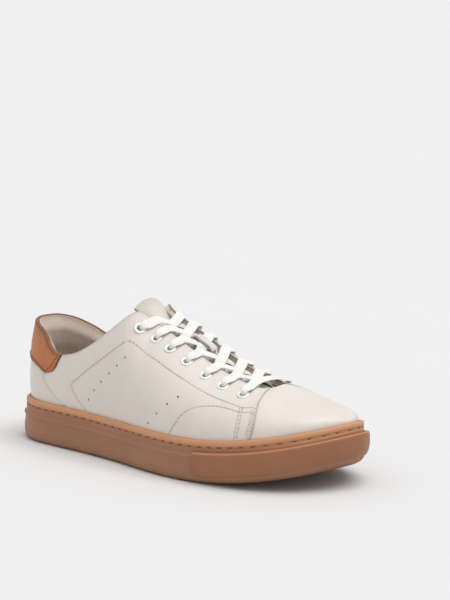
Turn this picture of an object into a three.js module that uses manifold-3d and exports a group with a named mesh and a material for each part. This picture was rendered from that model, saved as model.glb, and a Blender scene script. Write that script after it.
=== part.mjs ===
// Low-cut leather court shoe, right foot, laced up with its lace ends tucked inside.
// Millimetres. +X points at the toe, +Y at the inner (medial) side of the foot, +Z up.
import * as THREE from 'three';
import { mergeVertices } from 'three/addons/utils/BufferGeometryUtils.js';
import Module from 'manifold-3d';

const wasm = await Module();
wasm.setup();

// ---------------------------------------------------------------- driving dimensions
const SPRING_START = 40;        // x where the sole begins to curl up towards the toe
const SPRING_HEIGHT = 16.5;     // how far the toe tip of the sole is off the ground
const HALF_LENGTH = 150;        // heel tip and toe tip of the sole, from the middle
const SOLE_HEIGHT = 29;         // sidewall, from the ground to the lip
const HEEL_LIFT = 1.2;          // extra sidewall height under the heel
const LEDGE_HEIGHT = 18.4;      // step between the lower wall and the stitched band
const BAND_INSET = 1.8;         // how far the stitched band stands back from the lower wall
const UPPER_INSET = 5.2;        // outer face of the leather, in from the lower wall
const SKIRT = 13.5;             // leather hidden inside the cup, below the lip
const GAP = 0.4;                // clearance between neighbouring solids
const LEATHER = 1.4;            // outer leather
const STIFFENER_TOP = LEATHER + GAP;
const STIFFENER_BOTTOM = STIFFENER_TOP + 1;
const LINING_DEPTH = STIFFENER_BOTTOM + GAP;
const LINING = 1;               // lining leather
const COLLAR_PADDING = 4.2;     // extra depth of the padded collar
const LATERAL = -1;
const MEDIAL = 1;
const LAST_STATION = 14;        // ribs are numbered from 0 at the heel to 14 at the toe

// Outer edge of the lower sidewall, one point for each rib from heel to toe.
const OUTLINE = {
  [LATERAL]: [
    [-150, 0], [-147, -16.1], [-138, -27.7], [-120, -37.2], [-95, -40.2], [-60, -42.4], [-25, -46.8],
    [10, -53.6], [40, -56.4], [70, -54.6], [95, -49.5], [115, -40.8], [132, -28.3], [144, -11.6], [150, 8],
  ],
  [MEDIAL]: [
    [-150, 0], [-147, 16], [-137, 29], [-118, 36.6], [-92, 38], [-60, 35.8], [-27, 35.5],
    [6, 40.5], [36, 47.8], [66, 51.8], [93, 50.6], [115, 45.4], [133.1, 35.1], [144.9, 22.9], [150, 8],
  ],
};

// Top line of the upper: rib number, then x, y, z. It runs from the back of the heel round the
// collar, over the ear, down the edge of the throat and along the ridge of the vamp to the toe.
const RIDGE = [
  [10, 88.5, 4, 63.4], [11, 102, 5.2, 57.6], [12, 115, 6.5, 53.2], [13, 127, 7.4, 49.8], [14, 137, 8, 46.6],
];
const TOPLINE = {
  [LATERAL]: [
    [0, -141, 0, 87.5], [1, -139.5, -11, 87], [2, -131, -19.5, 84.5], [3, -116, -25.5, 78.5],
    [3.5, -108.5, -28.7, 71.5], [4, -98, -31.5, 67], [4.6, -77, -34, 70.5], [5.1, -58, -34, 80],
    [5.6, -44, -32.5, 90], [5.9, -35, -30, 97.3], [6.1, -29, -26.8, 102.4], [6.3, -25, -22, 104.6],
    [6.5, -21, -17.8, 102.4], [6.7, -15.5, -15.2, 98.3], [7.1, -3, -14.6, 92.7],
    [7.6, 14, -14.5, 84.8], [8.2, 36, -14.5, 75.2], [8.8, 56, -14.3, 68], [9.3, 72, -13.5, 63.8],
    [9.6, 81.5, -10.5, 61.8], [9.8, 86.5, -4, 62.4], ...RIDGE,
  ],
  [MEDIAL]: [
    [0, -141, 0, 87.5], [1, -139.5, 11, 86.8], [2, -131, 20.5, 83.8], [3, -118, 27, 77.8],
    [3.5, -109, 30, 73], [4, -98, 32, 70.5], [4.6, -79, 33.5, 73], [5.1, -63, 33.8, 80],
    [5.6, -50, 32, 89], [5.9, -43.5, 29.3, 96], [6.1, -39, 25.5, 101.5], [6.3, -35, 20.5, 104.3],
    [6.5, -29, 16.5, 102.4], [6.7, -20, 14.8, 98.3], [7.1, -6, 14.5, 92.5],
    [7.6, 12, 14.5, 84.4], [8.2, 33, 14.5, 74.2], [8.8, 53, 14.5, 67.2], [9.3, 70, 14.4, 63.6],
    [9.6, 80.5, 13, 62], [9.8, 86.5, 9.5, 62.4], ...RIDGE,
  ],
};

// How each rib arrives at the top line: rib number, angle below level in degrees, pull of the curve
// at the top line, and pull of the curve at the foot.
const CROWN = [
  [0, 80, 0.36, 0.42], [3, 80, 0.34, 0.42], [4, 78, 0.3, 0.42], [5, 74, 0.34, 0.42], [6, 62, 0.36, 0.42],
  [6.5, 46, 0.34, 0.42], [7, 36, 0.34, 0.42], [8, 30, 0.36, 0.42], [9, 24, 0.36, 0.4],
  [10, 12, 0.36, 0.38], [11, 11, 0.36, 0.36], [12, 12, 0.38, 0.34], [13, 14, 0.42, 0.34], [14, 20, 0.5, 0.36],
];
const FOOT_LEAN = 7;            // degrees that the upper swells outwards above the lip
const TOE_INSET = 2.5;            // the leather stands this much further back at the toe tip

// ---------------------------------------------------------------- curves and the shape of the upper
const between = (value, from, to) => THREE.MathUtils.smoothstep(value, from, to);

// A smooth curve through keyed points. Each key is [parameter, ...values].
function keyedCurve(keys) {
  const slope = (i, n) => {
    const a = keys[Math.max(i - 1, 0)];
    const b = keys[Math.min(i + 1, keys.length - 1)];
    return (b[n] - a[n]) / (b[0] - a[0]);
  };
  return (t) => {
    let i = 0;
    while (i < keys.length - 2 && t > keys[i + 1][0]) i += 1;
    const [a, b] = [keys[i], keys[i + 1]];
    const h = b[0] - a[0];
    const s = (t - a[0]) / h;
    return a.slice(1).map((value, k) => {
      const n = k + 1;
      const [m0, m1] = [slope(i, n) * h, slope(i + 1, n) * h];
      return (2 * s ** 3 - 3 * s ** 2 + 1) * value + (s ** 3 - 2 * s ** 2 + s) * m0
        + (3 * s ** 2 - 2 * s ** 3) * b[n] + (s ** 3 - s ** 2) * m1;
    });
  };
}

// Both ends of the outline cross the centre line, so each side borrows a point from the other.
function outlineCurve(side) {
  const own = OUTLINE[side];
  const other = OUTLINE[-side];
  const points = [other[1], ...own, other[LAST_STATION - 1]];
  return keyedCurve(points.map((point, i) => [i - 1, ...point]));
}

function toplineCurve(side) {
  const own = TOPLINE[side];
  const [, x, y, z] = TOPLINE[-side][1];
  const [last, beforeLast] = [own[own.length - 1], own[own.length - 2]];
  const beyond = last.map((value, i) => 2 * value - beforeLast[i]);
  return keyedCurve([[-1, x, y, z], ...own, beyond]);
}

const outline = { [LATERAL]: outlineCurve(LATERAL), [MEDIAL]: outlineCurve(MEDIAL) };
const topline = { [LATERAL]: toplineCurve(LATERAL), [MEDIAL]: toplineCurve(MEDIAL) };
const crown = keyedCurve(CROWN);
const smooth = (from, to, t) => THREE.MathUtils.smoothstep(t, Math.min(from, to), Math.max(from, to));

function lift(x) {
  const t = Math.max(0, (x - SPRING_START) / (HALF_LENGTH - SPRING_START));
  return SPRING_HEIGHT * t * t;
}

// Height of a sole feature above the ground: the sidewall is a little taller under the heel.
function soleHeight(x, height) {
  const heel = 1 - THREE.MathUtils.smoothstep(x, -90, -20);
  return lift(x) + height * (1 + heel * HEEL_LIFT / SOLE_HEIGHT);
}

// A point on the outline moved inwards (positive inset) or outwards.
function outlinePoint(side, station, inset, height) {
  const [x, y] = outline[side](station);
  const step = 0.02;
  const [x0, y0] = outline[side](station - step);
  const [x1, y1] = outline[side](station + step);
  const length = Math.hypot(x1 - x0, y1 - y0);
  const [nx, ny] = [-side * (y1 - y0) / length, side * (x1 - x0) / length];
  const [px, py] = [x - nx * inset, y - ny * inset];
  return new THREE.Vector3(px, py, soleHeight(px, height));
}

// The outer face of the upper. rib runs from heel to toe; v is -1 at the bottom of the skirt,
// 0 at the lip of the sole and 1 at the top line.
function upperInset(rib) {
  return UPPER_INSET + TOE_INSET * THREE.MathUtils.smoothstep(rib, 12, LAST_STATION);
}

function upperFace(side, rib, v) {
  const foot = outlinePoint(side, rib, upperInset(rib), SOLE_HEIGHT - 1);
  if (v < 0) return foot.add(new THREE.Vector3(0, 0, v * SKIRT));
  const top = new THREE.Vector3(...topline[side](rib));
  const [angle, topPull, footPull] = crown(rib);
  const out = foot.clone().sub(top).setZ(0).normalize();
  const span = foot.distanceTo(top);
  const lean = THREE.MathUtils.degToRad(FOOT_LEAN);
  const drop = THREE.MathUtils.degToRad(angle);
  const rise = out.clone().multiplyScalar(Math.sin(lean)).setZ(Math.cos(lean));
  const fall = out.clone().multiplyScalar(Math.cos(drop)).setZ(-Math.sin(drop));
  const curve = new THREE.CubicBezierCurve3(
    foot,
    foot.clone().addScaledVector(rise, footPull * span),
    top.clone().addScaledVector(fall, topPull * span),
    top,
  );
  return curve.getPoint(v);
}

function sideNormal(side, rib, v) {
  const step = 0.03;
  const low = Math.max(0, v - step);
  const high = Math.min(1, Math.max(v, 0) + step);
  const along = upperFace(side, rib + step, v).sub(upperFace(side, rib - step, v));
  const up = upperFace(side, rib, high).sub(upperFace(side, rib, low));
  return along.cross(up).multiplyScalar(-side).normalize();
}

// Along the heel line, the toe line and the ridge the two sides share one normal.
function jointNormal(side, rib, v) {
  const normal = sideNormal(side, rib, v);
  const shared = rib === 0 || rib === LAST_STATION || (v === 1 && rib >= RIDGE[0][0]);
  return shared ? normal.add(sideNormal(-side, rib, v)).normalize() : normal;
}

// Where the vamp rolls over to the ridge the normal turns evenly, so that inner layers stay smooth.
const ROLL_FROM = 0.4;
const ROLL_START = 9.8;
function upperNormal(side, rib, v) {
  const normal = jointNormal(side, rib, v);
  const from = ROLL_FROM * (1 - THREE.MathUtils.smoothstep(rib, 12, 13.5));
  if (rib < ROLL_START || v <= from) return normal;
  const turned = jointNormal(side, rib, from)
    .lerp(jointNormal(side, rib, 1), (v - from) / (1 - from));
  return normal.lerp(turned, THREE.MathUtils.smoothstep(rib, ROLL_START, ROLL_START + 0.5)).normalize();
}

// A point below the outer face by a depth; on the skirt the depth is measured level.
function upperPoint(side, rib, v, depth) {
  const normal = upperNormal(side, rib, v);
  if (v < 0) normal.setZ(0).normalize();
  return upperFace(side, rib, v).addScaledVector(normal, -depth);
}

// The ring position q runs once round the shoe: heel 0, outer side, toe 14, inner side, heel 28.
const RING = 2 * LAST_STATION;
function ringRib(q) {
  const turn = ((q % RING) + RING) % RING;
  return turn <= LAST_STATION ? [LATERAL, turn] : [MEDIAL, RING - turn];
}

// ---------------------------------------------------------------- solids
const ROW_STEP = 0.5;           // ring positions of the grid lines that all layers share
const EAR_ROWS = [6.25, 6.75, 7.25];
const V_LEVELS = [-1, 0, 0.2, 0.4, 0.6, 0.8, 0.92, 1];
const RING_ROWS = [];
for (let q = -LAST_STATION; q <= RING; q += ROW_STEP) RING_ROWS.push(q);
RING_ROWS.push(...EAR_ROWS, ...EAR_ROWS.map((q) => RING - q));
RING_ROWS.sort((a, b) => a - b);

function rowsBetween(from, to) {
  const clear = 0.2 * ROW_STEP;
  return [from, ...RING_ROWS.filter((q) => q > from + clear && q < to - clear), to];
}

function levelsBetween(from, to) {
  return [from, ...V_LEVELS.filter((v) => v > from + 0.04 && v < to - 0.04), to];
}

// Grid of places on the upper; ends may slant, as a function of v.
function upperGrid(from, to, low, high) {
  const startAt = (v) => (typeof from === 'function' ? from(v) : from);
  const endAt = (v) => (typeof to === 'function' ? to(v) : to);
  const lowAt = (q) => (typeof low === 'function' ? low(q) : low);
  const levels = levelsBetween(lowAt(0), high);
  const starts = levels.map(startAt);
  const ends = levels.map(endAt);
  const inner = rowsBetween(Math.max(...starts), Math.min(...ends)).slice(1, -1);
  const rows = [startAt, ...inner.map((q) => () => q), endAt];
  return rows.map((rowAt) => levels.map((v, i) => {
    const q = rowAt(v);
    return [q, i === 0 ? lowAt(q) : v];
  }));
}

const round = (vector) => vector.toArray().map((n) => Math.round(n * 500)).join();

// A closed solid made of an outer sheet, an inner sheet and walls along the free edges.
// Each grid entry gives { key, outer, inner }; entries with the same key are one point.
function sheetSolid(grid) {
  const index = new Map();
  const outer = [];
  const inner = [];
  const ids = grid.map((row) => row.map((entry) => {
    if (!index.has(entry.key)) {
      index.set(entry.key, outer.length);
      outer.push(entry.outer);
      inner.push(entry.inner);
    }
    return index.get(entry.key);
  }));
  const faces = [];
  const addFace = (a, b, c) => {
    if (a !== b && b !== c && c !== a) faces.push([a, b, c]);
  };
  for (let i = 0; i < ids.length - 1; i += 1) {
    for (let j = 0; j < ids[i].length - 1; j += 1) {
      addFace(ids[i][j], ids[i + 1][j], ids[i + 1][j + 1]);
      addFace(ids[i][j], ids[i + 1][j + 1], ids[i][j + 1]);
    }
  }
  const edges = new Set(faces.flatMap(([a, b, c]) => [`${a},${b}`, `${b},${c}`, `${c},${a}`]));
  const count = outer.length;
  const triangles = faces.flatMap(([a, b, c]) => [[a, b, c], [c + count, b + count, a + count]]);
  for (const edge of edges) {
    const [a, b] = edge.split(',').map(Number);
    if (!edges.has(`${b},${a}`)) triangles.push([b, a, a + count], [b, a + count, b + count]);
  }
  return meshGeometry([...outer, ...inner], triangles);
}

function meshGeometry(points, triangles) {
  const geometry = new THREE.BufferGeometry();
  geometry.setAttribute('position', new THREE.Float32BufferAttribute(points.flatMap((p) => p.toArray()), 3));
  geometry.setIndex(triangles.flat());
  return geometry;
}

// A layer of the upper between two depths, which may be functions of (rib, v).
function layer(grid, outerDepth, innerDepth) {
  const depthAt = (depth, rib, v) => (typeof depth === 'function' ? depth(rib, v) : depth);
  return sheetSolid(grid.map((row) => row.map(([q, v]) => {
    const [side, rib] = ringRib(q);
    return {
      key: round(upperFace(side, rib, v)),
      outer: upperPoint(side, rib, v, depthAt(outerDepth, rib, v)),
      inner: upperPoint(side, rib, v, depthAt(innerDepth, rib, v)),
    };
  })));
}

function solid(geometry) {
  const plain = new THREE.BufferGeometry();
  plain.setAttribute('position', geometry.getAttribute('position').clone());
  if (geometry.index) plain.setIndex(geometry.index);
  const merged = mergeVertices(plain, 1e-4);
  return new wasm.Manifold(new wasm.Mesh({
    numProp: 3,
    vertProperties: new Float32Array(merged.getAttribute('position').array),
    triVerts: new Uint32Array(merged.index.array),
  }));
}

function fromSolid(body) {
  const { numProp, vertProperties, triVerts } = body.getMesh();
  const geometry = new THREE.BufferGeometry();
  const positions = [];
  for (let i = 0; i < vertProperties.length; i += numProp) positions.push(...vertProperties.slice(i, i + 3));
  geometry.setAttribute('position', new THREE.Float32BufferAttribute(positions, 3));
  geometry.setIndex([...triVerts]);
  return geometry;
}

// A body that follows the whole outline. The profile is a list of [inset, height], from the
// middle of the underside, out and up the side, and back to the middle of the top.
const SOLE_ROWS = RING / ROW_STEP;
function outlineBody(profile) {
  const points = profile.flatMap((place) => Array.from({ length: SOLE_ROWS }, (_, i) => {
    const [side, rib] = ringRib(i * ROW_STEP);
    const [inset, height] = place(rib);
    return outlinePoint(side, rib, inset, height);
  }));
  const triangles = [];
  const id = (row, i) => row * SOLE_ROWS + ((i + SOLE_ROWS) % SOLE_ROWS);
  for (let row = 0; row < profile.length - 1; row += 1) {
    for (let i = 0; i < SOLE_ROWS; i += 1) {
      triangles.push([id(row, i), id(row, i + 1), id(row + 1, i + 1)]);
      triangles.push([id(row, i), id(row + 1, i + 1), id(row + 1, i)]);
    }
  }
  for (const [row, flip] of [[0, false], [profile.length - 1, true]]) {
    for (let i = 0; i < SOLE_ROWS / 2; i += 1) {
      const [a, b, c, d] = [id(row, i), id(row, -i), id(row, -i - 1), id(row, i + 1)];
      const cells = [[a, b, c], [a, c, d]].filter((cell) => new Set(cell).size === 3);
      triangles.push(...cells.map((cell) => (flip ? cell.reverse() : cell)));
    }
  }
  return meshGeometry(points, triangles);
}

// A strip that follows part of the outline. Its closed profile is a list of functions of the rib,
// each giving [inset, height].
function outlineStrip(profile, from, to) {
  const rows = from === to ? null : rowsBetween(from, to);
  const closed = rows === null;
  const stations = closed ? Array.from({ length: SOLE_ROWS }, (_, i) => i * ROW_STEP) : rows;
  const points = stations.flatMap((q) => {
    const [side, rib] = ringRib(q);
    return profile.map((place) => outlinePoint(side, rib, ...place(rib)));
  });
  const size = profile.length;
  const triangles = [];
  const steps = closed ? stations.length : stations.length - 1;
  for (let i = 0; i < steps; i += 1) {
    const [here, next] = [i * size, ((i + 1) % stations.length) * size];
    for (let k = 0; k < size; k += 1) {
      const after = (k + 1) % size;
      triangles.push([here + k, next + k, next + after], [here + k, next + after, here + after]);
    }
  }
  if (!closed) {
    const last = (stations.length - 1) * size;
    const flat = profile.map((place) => new THREE.Vector2(...place(from)));
    const turn = Math.sign(THREE.ShapeUtils.area(flat));
    for (const cell of THREE.ShapeUtils.triangulateShape(flat, [])) {
      const same = Math.sign(THREE.ShapeUtils.area(cell.map((k) => flat[k]))) === turn;
      const [a, b, c] = same ? cell : cell.reverse();
      triangles.push([a, b, c], [last + c, last + b, last + a]);
    }
  }
  return meshGeometry(points, triangles);
}

// ---------------------------------------------------------------- the object
const shoe = new THREE.Group();
const LOOKS = {
  gum: { color: 0xc58a5c, roughness: 0.55, metalness: 0 },
  leather: { color: 0xe6e0da, roughness: 0.5, metalness: 0 },
  tan: { color: 0xb9733c, roughness: 0.6, metalness: 0 },
  lining: { color: 0xd8d2ca, roughness: 0.85, metalness: 0 },
  foam: { color: 0xefe6c8, roughness: 0.95, metalness: 0 },
  board: { color: 0xb9a88c, roughness: 0.9, metalness: 0 },
  thread: { color: 0xb57a4e, roughness: 0.8, metalness: 0 },
  lace: { color: 0xf7f5ee, roughness: 0.9, metalness: 0 },
  enamel: { color: 0xf2f4f4, roughness: 0.35, metalness: 0.3 },
  plastic: { color: 0xf4f2ec, roughness: 0.3, metalness: 0 },
};

function addPart(name, geometry, look) {
  const mesh = new THREE.Mesh(geometry, new THREE.MeshStandardMaterial(LOOKS[look]));
  mesh.name = name;
  shoe.add(mesh);
}

// ---- sole unit
const wallInset = (rib) => upperInset(rib) - GAP;
const LIP = SOLE_HEIGHT;
const CUP_FLOOR = 5;
const TOE_UNDER = 5;            // the toe is rounded under by this much at the ground
const toeUnder = (rib, height) => TOE_UNDER * between(rib, 11, LAST_STATION) * Math.max(0, 1 - height / 13) ** 2;
const wall = (inset, height) => (rib) => [inset + toeUnder(rib, height), height];
const TOE_BAND = 0.8;           // the band above the ledge stands this much further back at the toe
const band = (inset, height) => (rib) => [BAND_INSET + inset + TOE_BAND * between(rib, 11.5, LAST_STATION), height];
addPart('cupsole', outlineBody([
  wall(9, 0), wall(2.4, 0), wall(0.6, 1.6), wall(0, 4.5), wall(0, 9), wall(0, LEDGE_HEIGHT - 1.2),
  wall(0.6, LEDGE_HEIGHT - 0.2), band(0, LEDGE_HEIGHT), band(0, 23.6), band(0.9, 23.9), band(0.9, 25.1),
  band(0, 25.4), band(0, LIP - 0.8), band(0.8, LIP),
  (rib) => [wallInset(rib), LIP], (rib) => [wallInset(rib), CUP_FLOOR], (rib) => [wallInset(rib) + 4, CUP_FLOOR],
]), 'gum');

const BUMPER_FROM = 8.55;       // ring positions of the ends of the toe bumper
const BUMPER_TO = RING - 9.2;
addPart('toe_bumper', outlineStrip([
  wall(-0.4, 5), wall(-1.2, 5.6), wall(-1.7, 8), wall(-1.8, 13), wall(-1.7, 18.4), wall(-0.9, 20.8), wall(1.4, 21),
  wall(1.4, LEDGE_HEIGHT + GAP), wall(-0.4, LEDGE_HEIGHT + GAP), wall(-0.4, 9),
], BUMPER_FROM, BUMPER_TO), 'gum');

addPart('sidewall_thread', outlineStrip([
  band(0.1, 24.2), band(0.1, 24.8), band(0.6, 24.8), band(0.6, 24.2),
], 0, 0), 'thread');

const FOAM_TOP = 14;
addPart('midsole_foam', outlineBody([
  (rib) => [upperInset(rib) + 4, CUP_FLOOR + GAP], (rib) => [upperInset(rib) + 0.6, CUP_FLOOR + GAP],
  (rib) => [upperInset(rib), CUP_FLOOR + 1], (rib) => [upperInset(rib), FOAM_TOP],
  (rib) => [upperInset(rib) + 4, FOAM_TOP],
]), 'foam');

const INNER_INSET = LINING_DEPTH + LINING + 0.6;
const BOARD_TOP = FOAM_TOP + GAP + 2;
addPart('insole_board', outlineBody([
  (rib) => [upperInset(rib) + INNER_INSET + 3, FOAM_TOP + GAP], (rib) => [upperInset(rib) + INNER_INSET, FOAM_TOP + GAP],
  (rib) => [upperInset(rib) + INNER_INSET, BOARD_TOP], (rib) => [upperInset(rib) + INNER_INSET + 3, BOARD_TOP],
]), 'board');

const SOCK_INSET = INNER_INSET + 0.6;
addPart('sockliner', outlineBody([
  (rib) => [upperInset(rib) + SOCK_INSET + 3, BOARD_TOP + GAP], (rib) => [upperInset(rib) + SOCK_INSET, BOARD_TOP + GAP],
  (rib) => [upperInset(rib) + SOCK_INSET, BOARD_TOP + 3.6], (rib) => [upperInset(rib) + SOCK_INSET + 1.2, BOARD_TOP + 4.4],
  (rib) => [upperInset(rib) + SOCK_INSET + 6, BOARD_TOP + 4.4],
]), 'lining');

// ---- upper leather: one shell cut into its panels along the seams
const VAMP_SEAM_FOOT = 10.25;   // where the quarter's front edge meets the sole, and the top line
const VAMP_SEAM_TOP = 9.74;
const HEEL_SEAM_FOOT = 4.33;
const TAB_TIP = 3.45;           // lowest point of the heel tab: ring position and v
const TAB_TIP_V = 0.48;
const TAB_FRONT = 4.12;         // where the tab's front edge meets the collar
const TAB_BACK_V = 0.53;        // lower edge of the tab at the back of the heel
const SEAM = 0.012;             // half a seam gap, as a ring position
const mix = THREE.MathUtils.lerp;

const vampSeam = (v) => mix(VAMP_SEAM_FOOT, VAMP_SEAM_TOP, Math.max(0, v));
function heelSeam(v) {
  if (v <= TAB_TIP_V) return mix(HEEL_SEAM_FOOT, TAB_TIP, Math.max(0, v) / TAB_TIP_V);
  return mix(TAB_TIP, TAB_FRONT, (v - TAB_TIP_V) / (1 - TAB_TIP_V));
}
const tabEdge = (q) => mix(TAB_BACK_V, TAB_TIP_V, Math.abs(q) / TAB_TIP);

const CUT_OUT = -2;             // cutters reach from outside the leather to inside it
const CUT_IN = 3;
const BEYOND = 1.06;
function quarterCutter(side, margin) {
  const start = (v) => heelSeam(v) + margin;
  const end = (v) => vampSeam(v) - margin;
  if (side === LATERAL) return solid(layer(upperGrid(start, end, -1.1, BEYOND), CUT_OUT, CUT_IN));
  return solid(layer(upperGrid((v) => RING - end(v), (v) => RING - start(v), -1.1, BEYOND), CUT_OUT, CUT_IN));
}
function tabCutter(margin) {
  return solid(layer(upperGrid(-4.6, 4.6, (q) => tabEdge(q) + margin, BEYOND), CUT_OUT, CUT_IN));
}

const leatherBetween = (from, to) => solid(layer(upperGrid(from, to, -1, 1), 0, LEATHER));
const outsideQuarters = (body) => body
  .subtract(quarterCutter(LATERAL, -SEAM)).subtract(quarterCutter(MEDIAL, -SEAM));
const quarters = {
  [LATERAL]: leatherBetween(3, 10.5).intersect(quarterCutter(LATERAL, SEAM)),
  [MEDIAL]: leatherBetween(RING - 10.5, RING - 3).intersect(quarterCutter(MEDIAL, SEAM)),
};
const vamp = outsideQuarters(leatherBetween(9.5, RING - 9.5));
const heel = outsideQuarters(leatherBetween(-4.5, 4.5));

// ---- eyelets: one row on each side, along the edge of the throat
const EYELET_RIBS = [6.42, 6.87, 7.3, 7.78, 8.3, 8.8, 9.38];
const LOWEST = EYELET_RIBS.length - 1;
const EYELET_OFFSET = 13;       // from the edge of the throat to the middle of an eyelet
const HOLE_RADIUS = 3;
const LINING_FLOOR = LINING_DEPTH + LINING;

const THROAT_TOP = 6.75;        // above this rib the edges turn away round the ears
function eyeletPlace(side, rib) {
  const edge = upperFace(side, rib, 1);
  const step = 0.002;
  let v = 1;
  while (upperFace(side, rib, v).distanceTo(edge) < EYELET_OFFSET) v -= step;
  const centre = upperFace(side, rib, v);
  const normal = upperNormal(side, rib, v);
  let throatRib = Math.max(rib, THROAT_TOP);
  let nearest = upperFace(side, throatRib, 1);
  for (let r = throatRib; r < rib + 0.6; r += 0.01) {
    const point = upperFace(side, r, 1);
    if (point.distanceTo(centre) < nearest.distanceTo(centre)) [throatRib, nearest] = [r, point];
  }
  const inward = nearest.clone().sub(centre);
  inward.addScaledVector(normal, -inward.dot(normal)).normalize();
  return { centre, normal, inward, throatRib, edge: nearest };
}
const eyelets = {
  [LATERAL]: EYELET_RIBS.map((rib) => eyeletPlace(LATERAL, rib)),
  [MEDIAL]: EYELET_RIBS.map((rib) => eyeletPlace(MEDIAL, rib)),
};

const UP_Y = new THREE.Vector3(0, 1, 0);
function standOn(geometry, { centre, normal }) {
  geometry.applyQuaternion(new THREE.Quaternion().setFromUnitVectors(UP_Y, normal));
  return geometry.translate(centre.x, centre.y, centre.z);
}

const punches = (side) => eyelets[side]
  .map((place) => solid(standOn(new THREE.CylinderGeometry(HOLE_RADIUS, HOLE_RADIUS, 16, 8), place)));
const punched = (body, side) => punches(side).reduce((rest, punch) => rest.subtract(punch), body);

const EYELET_SIDES = 8;
const FLANGE_BOTTOM = LINING_FLOOR + 0.8;
function eyeletGeometry() {
  const profile = [
    [2.2, -FLANGE_BOTTOM - 0.4], [3.5, -FLANGE_BOTTOM - 0.4], [3.5, -FLANGE_BOTTOM], [2.7, -FLANGE_BOTTOM],
    [2.7, 0.35], [4.3, 0.35], [3.9, 1], [2.2, 1], [2.2, -FLANGE_BOTTOM - 0.4],
  ];
  return new THREE.LatheGeometry(profile.map((point) => new THREE.Vector2(...point)), EYELET_SIDES);
}

addPart('vamp', fromSolid(vamp), 'leather');
addPart('lateral_quarter', fromSolid(punched(quarters[LATERAL], LATERAL)), 'leather');
addPart('medial_quarter', fromSolid(punched(quarters[MEDIAL], MEDIAL)), 'leather');
addPart('heel_panel', fromSolid(heel.subtract(tabCutter(-SEAM / 2))), 'leather');
addPart('heel_tab', fromSolid(heel.intersect(tabCutter(SEAM / 2))), 'tan');

// ---- stiffeners, collar padding and linings
function liningDepth(rib, v) {
  const around = 1 - between(rib, 5, 6);
  const swell = between(v, 0.4, 0.68) * (1 - between(v, 0.84, 1));
  const tuck = between(v, 0.84, 1) * (LINING_DEPTH - STIFFENER_TOP);
  return LINING_DEPTH + around * (COLLAR_PADDING * swell - tuck);
}
const liningFloor = (rib, v) => liningDepth(rib, v) + LINING;
const lining = (from, to) => layer(upperGrid(from, to, -1, 1), liningDepth, liningFloor);
// The side linings meet the vamp lining along a seam, and stop short of the bottom of the throat.
const LINING_SEAM = 10;
const LINING_SEAM_TOP = 9.75;
const liningEnd = (v) => mix(LINING_SEAM - 2 * SEAM, LINING_SEAM_TOP, between(v, 0.85, 1));
// The vamp lining is cut back along the ridge, where the tongue is sewn in.
const LINING_CUT_BACK = 10.88;
const vampLiningStart = (v) => mix(LINING_SEAM + SEAM, LINING_CUT_BACK, between(v, 0.6, 1));
const stiffener = (from, to, low, high) => layer(upperGrid(from, to, low, high), STIFFENER_TOP, STIFFENER_BOTTOM);

addPart('toe_puff', stiffener(11.5, 16.5, -1, 1), 'board');
addPart('heel_counter', stiffener(-4, 4, -1, 0.4), 'board');
addPart('collar_foam', layer(
  upperGrid(-5.5, 5.5, 0.46, 0.92),
  STIFFENER_TOP,
  (rib, v) => liningDepth(rib, v) - GAP,
), 'foam');
for (const [side, name] of [[LATERAL, 'lateral'], [MEDIAL, 'medial']]) {
  const [from, to] = side === LATERAL ? [6, 9.5] : [RING - 9.5, RING - 6];
  addPart(`${name}_eyestay_backing`, fromSolid(punched(solid(stiffener(from, to, 0.6, 1)), side)), 'board');
  const [back, front] = side === LATERAL
    ? [3 + SEAM, liningEnd]
    : [(v) => RING - liningEnd(v), RING - 3 - SEAM];
  addPart(`${name}_lining`, fromSolid(punched(solid(lining(back, front)), side)), 'lining');
}
const vampLining = lining(vampLiningStart, (v) => RING - vampLiningStart(v));
addPart('vamp_lining', fromSolid(solid(vampLining)), 'lining');
addPart('heel_lining', lining(-3 + SEAM, 3 - SEAM), 'lining');

for (const [side, name] of [[LATERAL, 'lateral'], [MEDIAL, 'medial']]) {
  eyelets[side].forEach((place, i) => {
    addPart(`${name}_eyelet_${i + 1}`, standOn(eyeletGeometry(), place), 'enamel');
  });
}

// ---- the throat: a frame across the gap between the two eyestays
// across runs from -1 at the outer edge to 1 at the inner edge; height is above the line between them.
function throatUp(rib) {
  const at = Math.max(rib, THROAT_TOP);
  const middle = (r) => upperFace(LATERAL, r, 1).add(upperFace(MEDIAL, r, 1));
  const along = middle(at + 0.2).sub(middle(at - 0.05));
  return new THREE.Vector3(-along.z, 0, along.x).normalize();
}
function throatPoint(rib, across, height) {
  const point = upperFace(LATERAL, rib, 1).lerp(upperFace(MEDIAL, rib, 1), (across + 1) / 2);
  return point.addScaledVector(throatUp(rib), height);
}

// ---- tongue: three layers under the laces, sewn to the vamp at its lower end
const TONGUE_DEPTH = 8;        // under the eyestays, leaving room for the lace
const TONGUE_RIBS = [6.95, 7.2, 7.6, 8.1, 8.6, 9.1, 9.55];
const TONGUE_RISE = [[-0.42, -3.9], [-0.15, -2.6], [0.15, -2.6], [0.42, -3.9]];
function tongueSection(rib) {
  const low = mix(0.6, 0.8, between(rib, 7, 9.6));
  const levels = [low, (low + 1) / 2, 1];
  const sideOf = (side) => levels.map((v) => upperPoint(side, rib, v, TONGUE_DEPTH));
  const sink = -3.2 * between(rib, 9, 9.6);
  const middle = TONGUE_RISE.map(([across, height]) => throatPoint(rib, across, height + sink));
  return [...sideOf(LATERAL), ...middle, ...sideOf(MEDIAL).reverse()];
}
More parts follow.
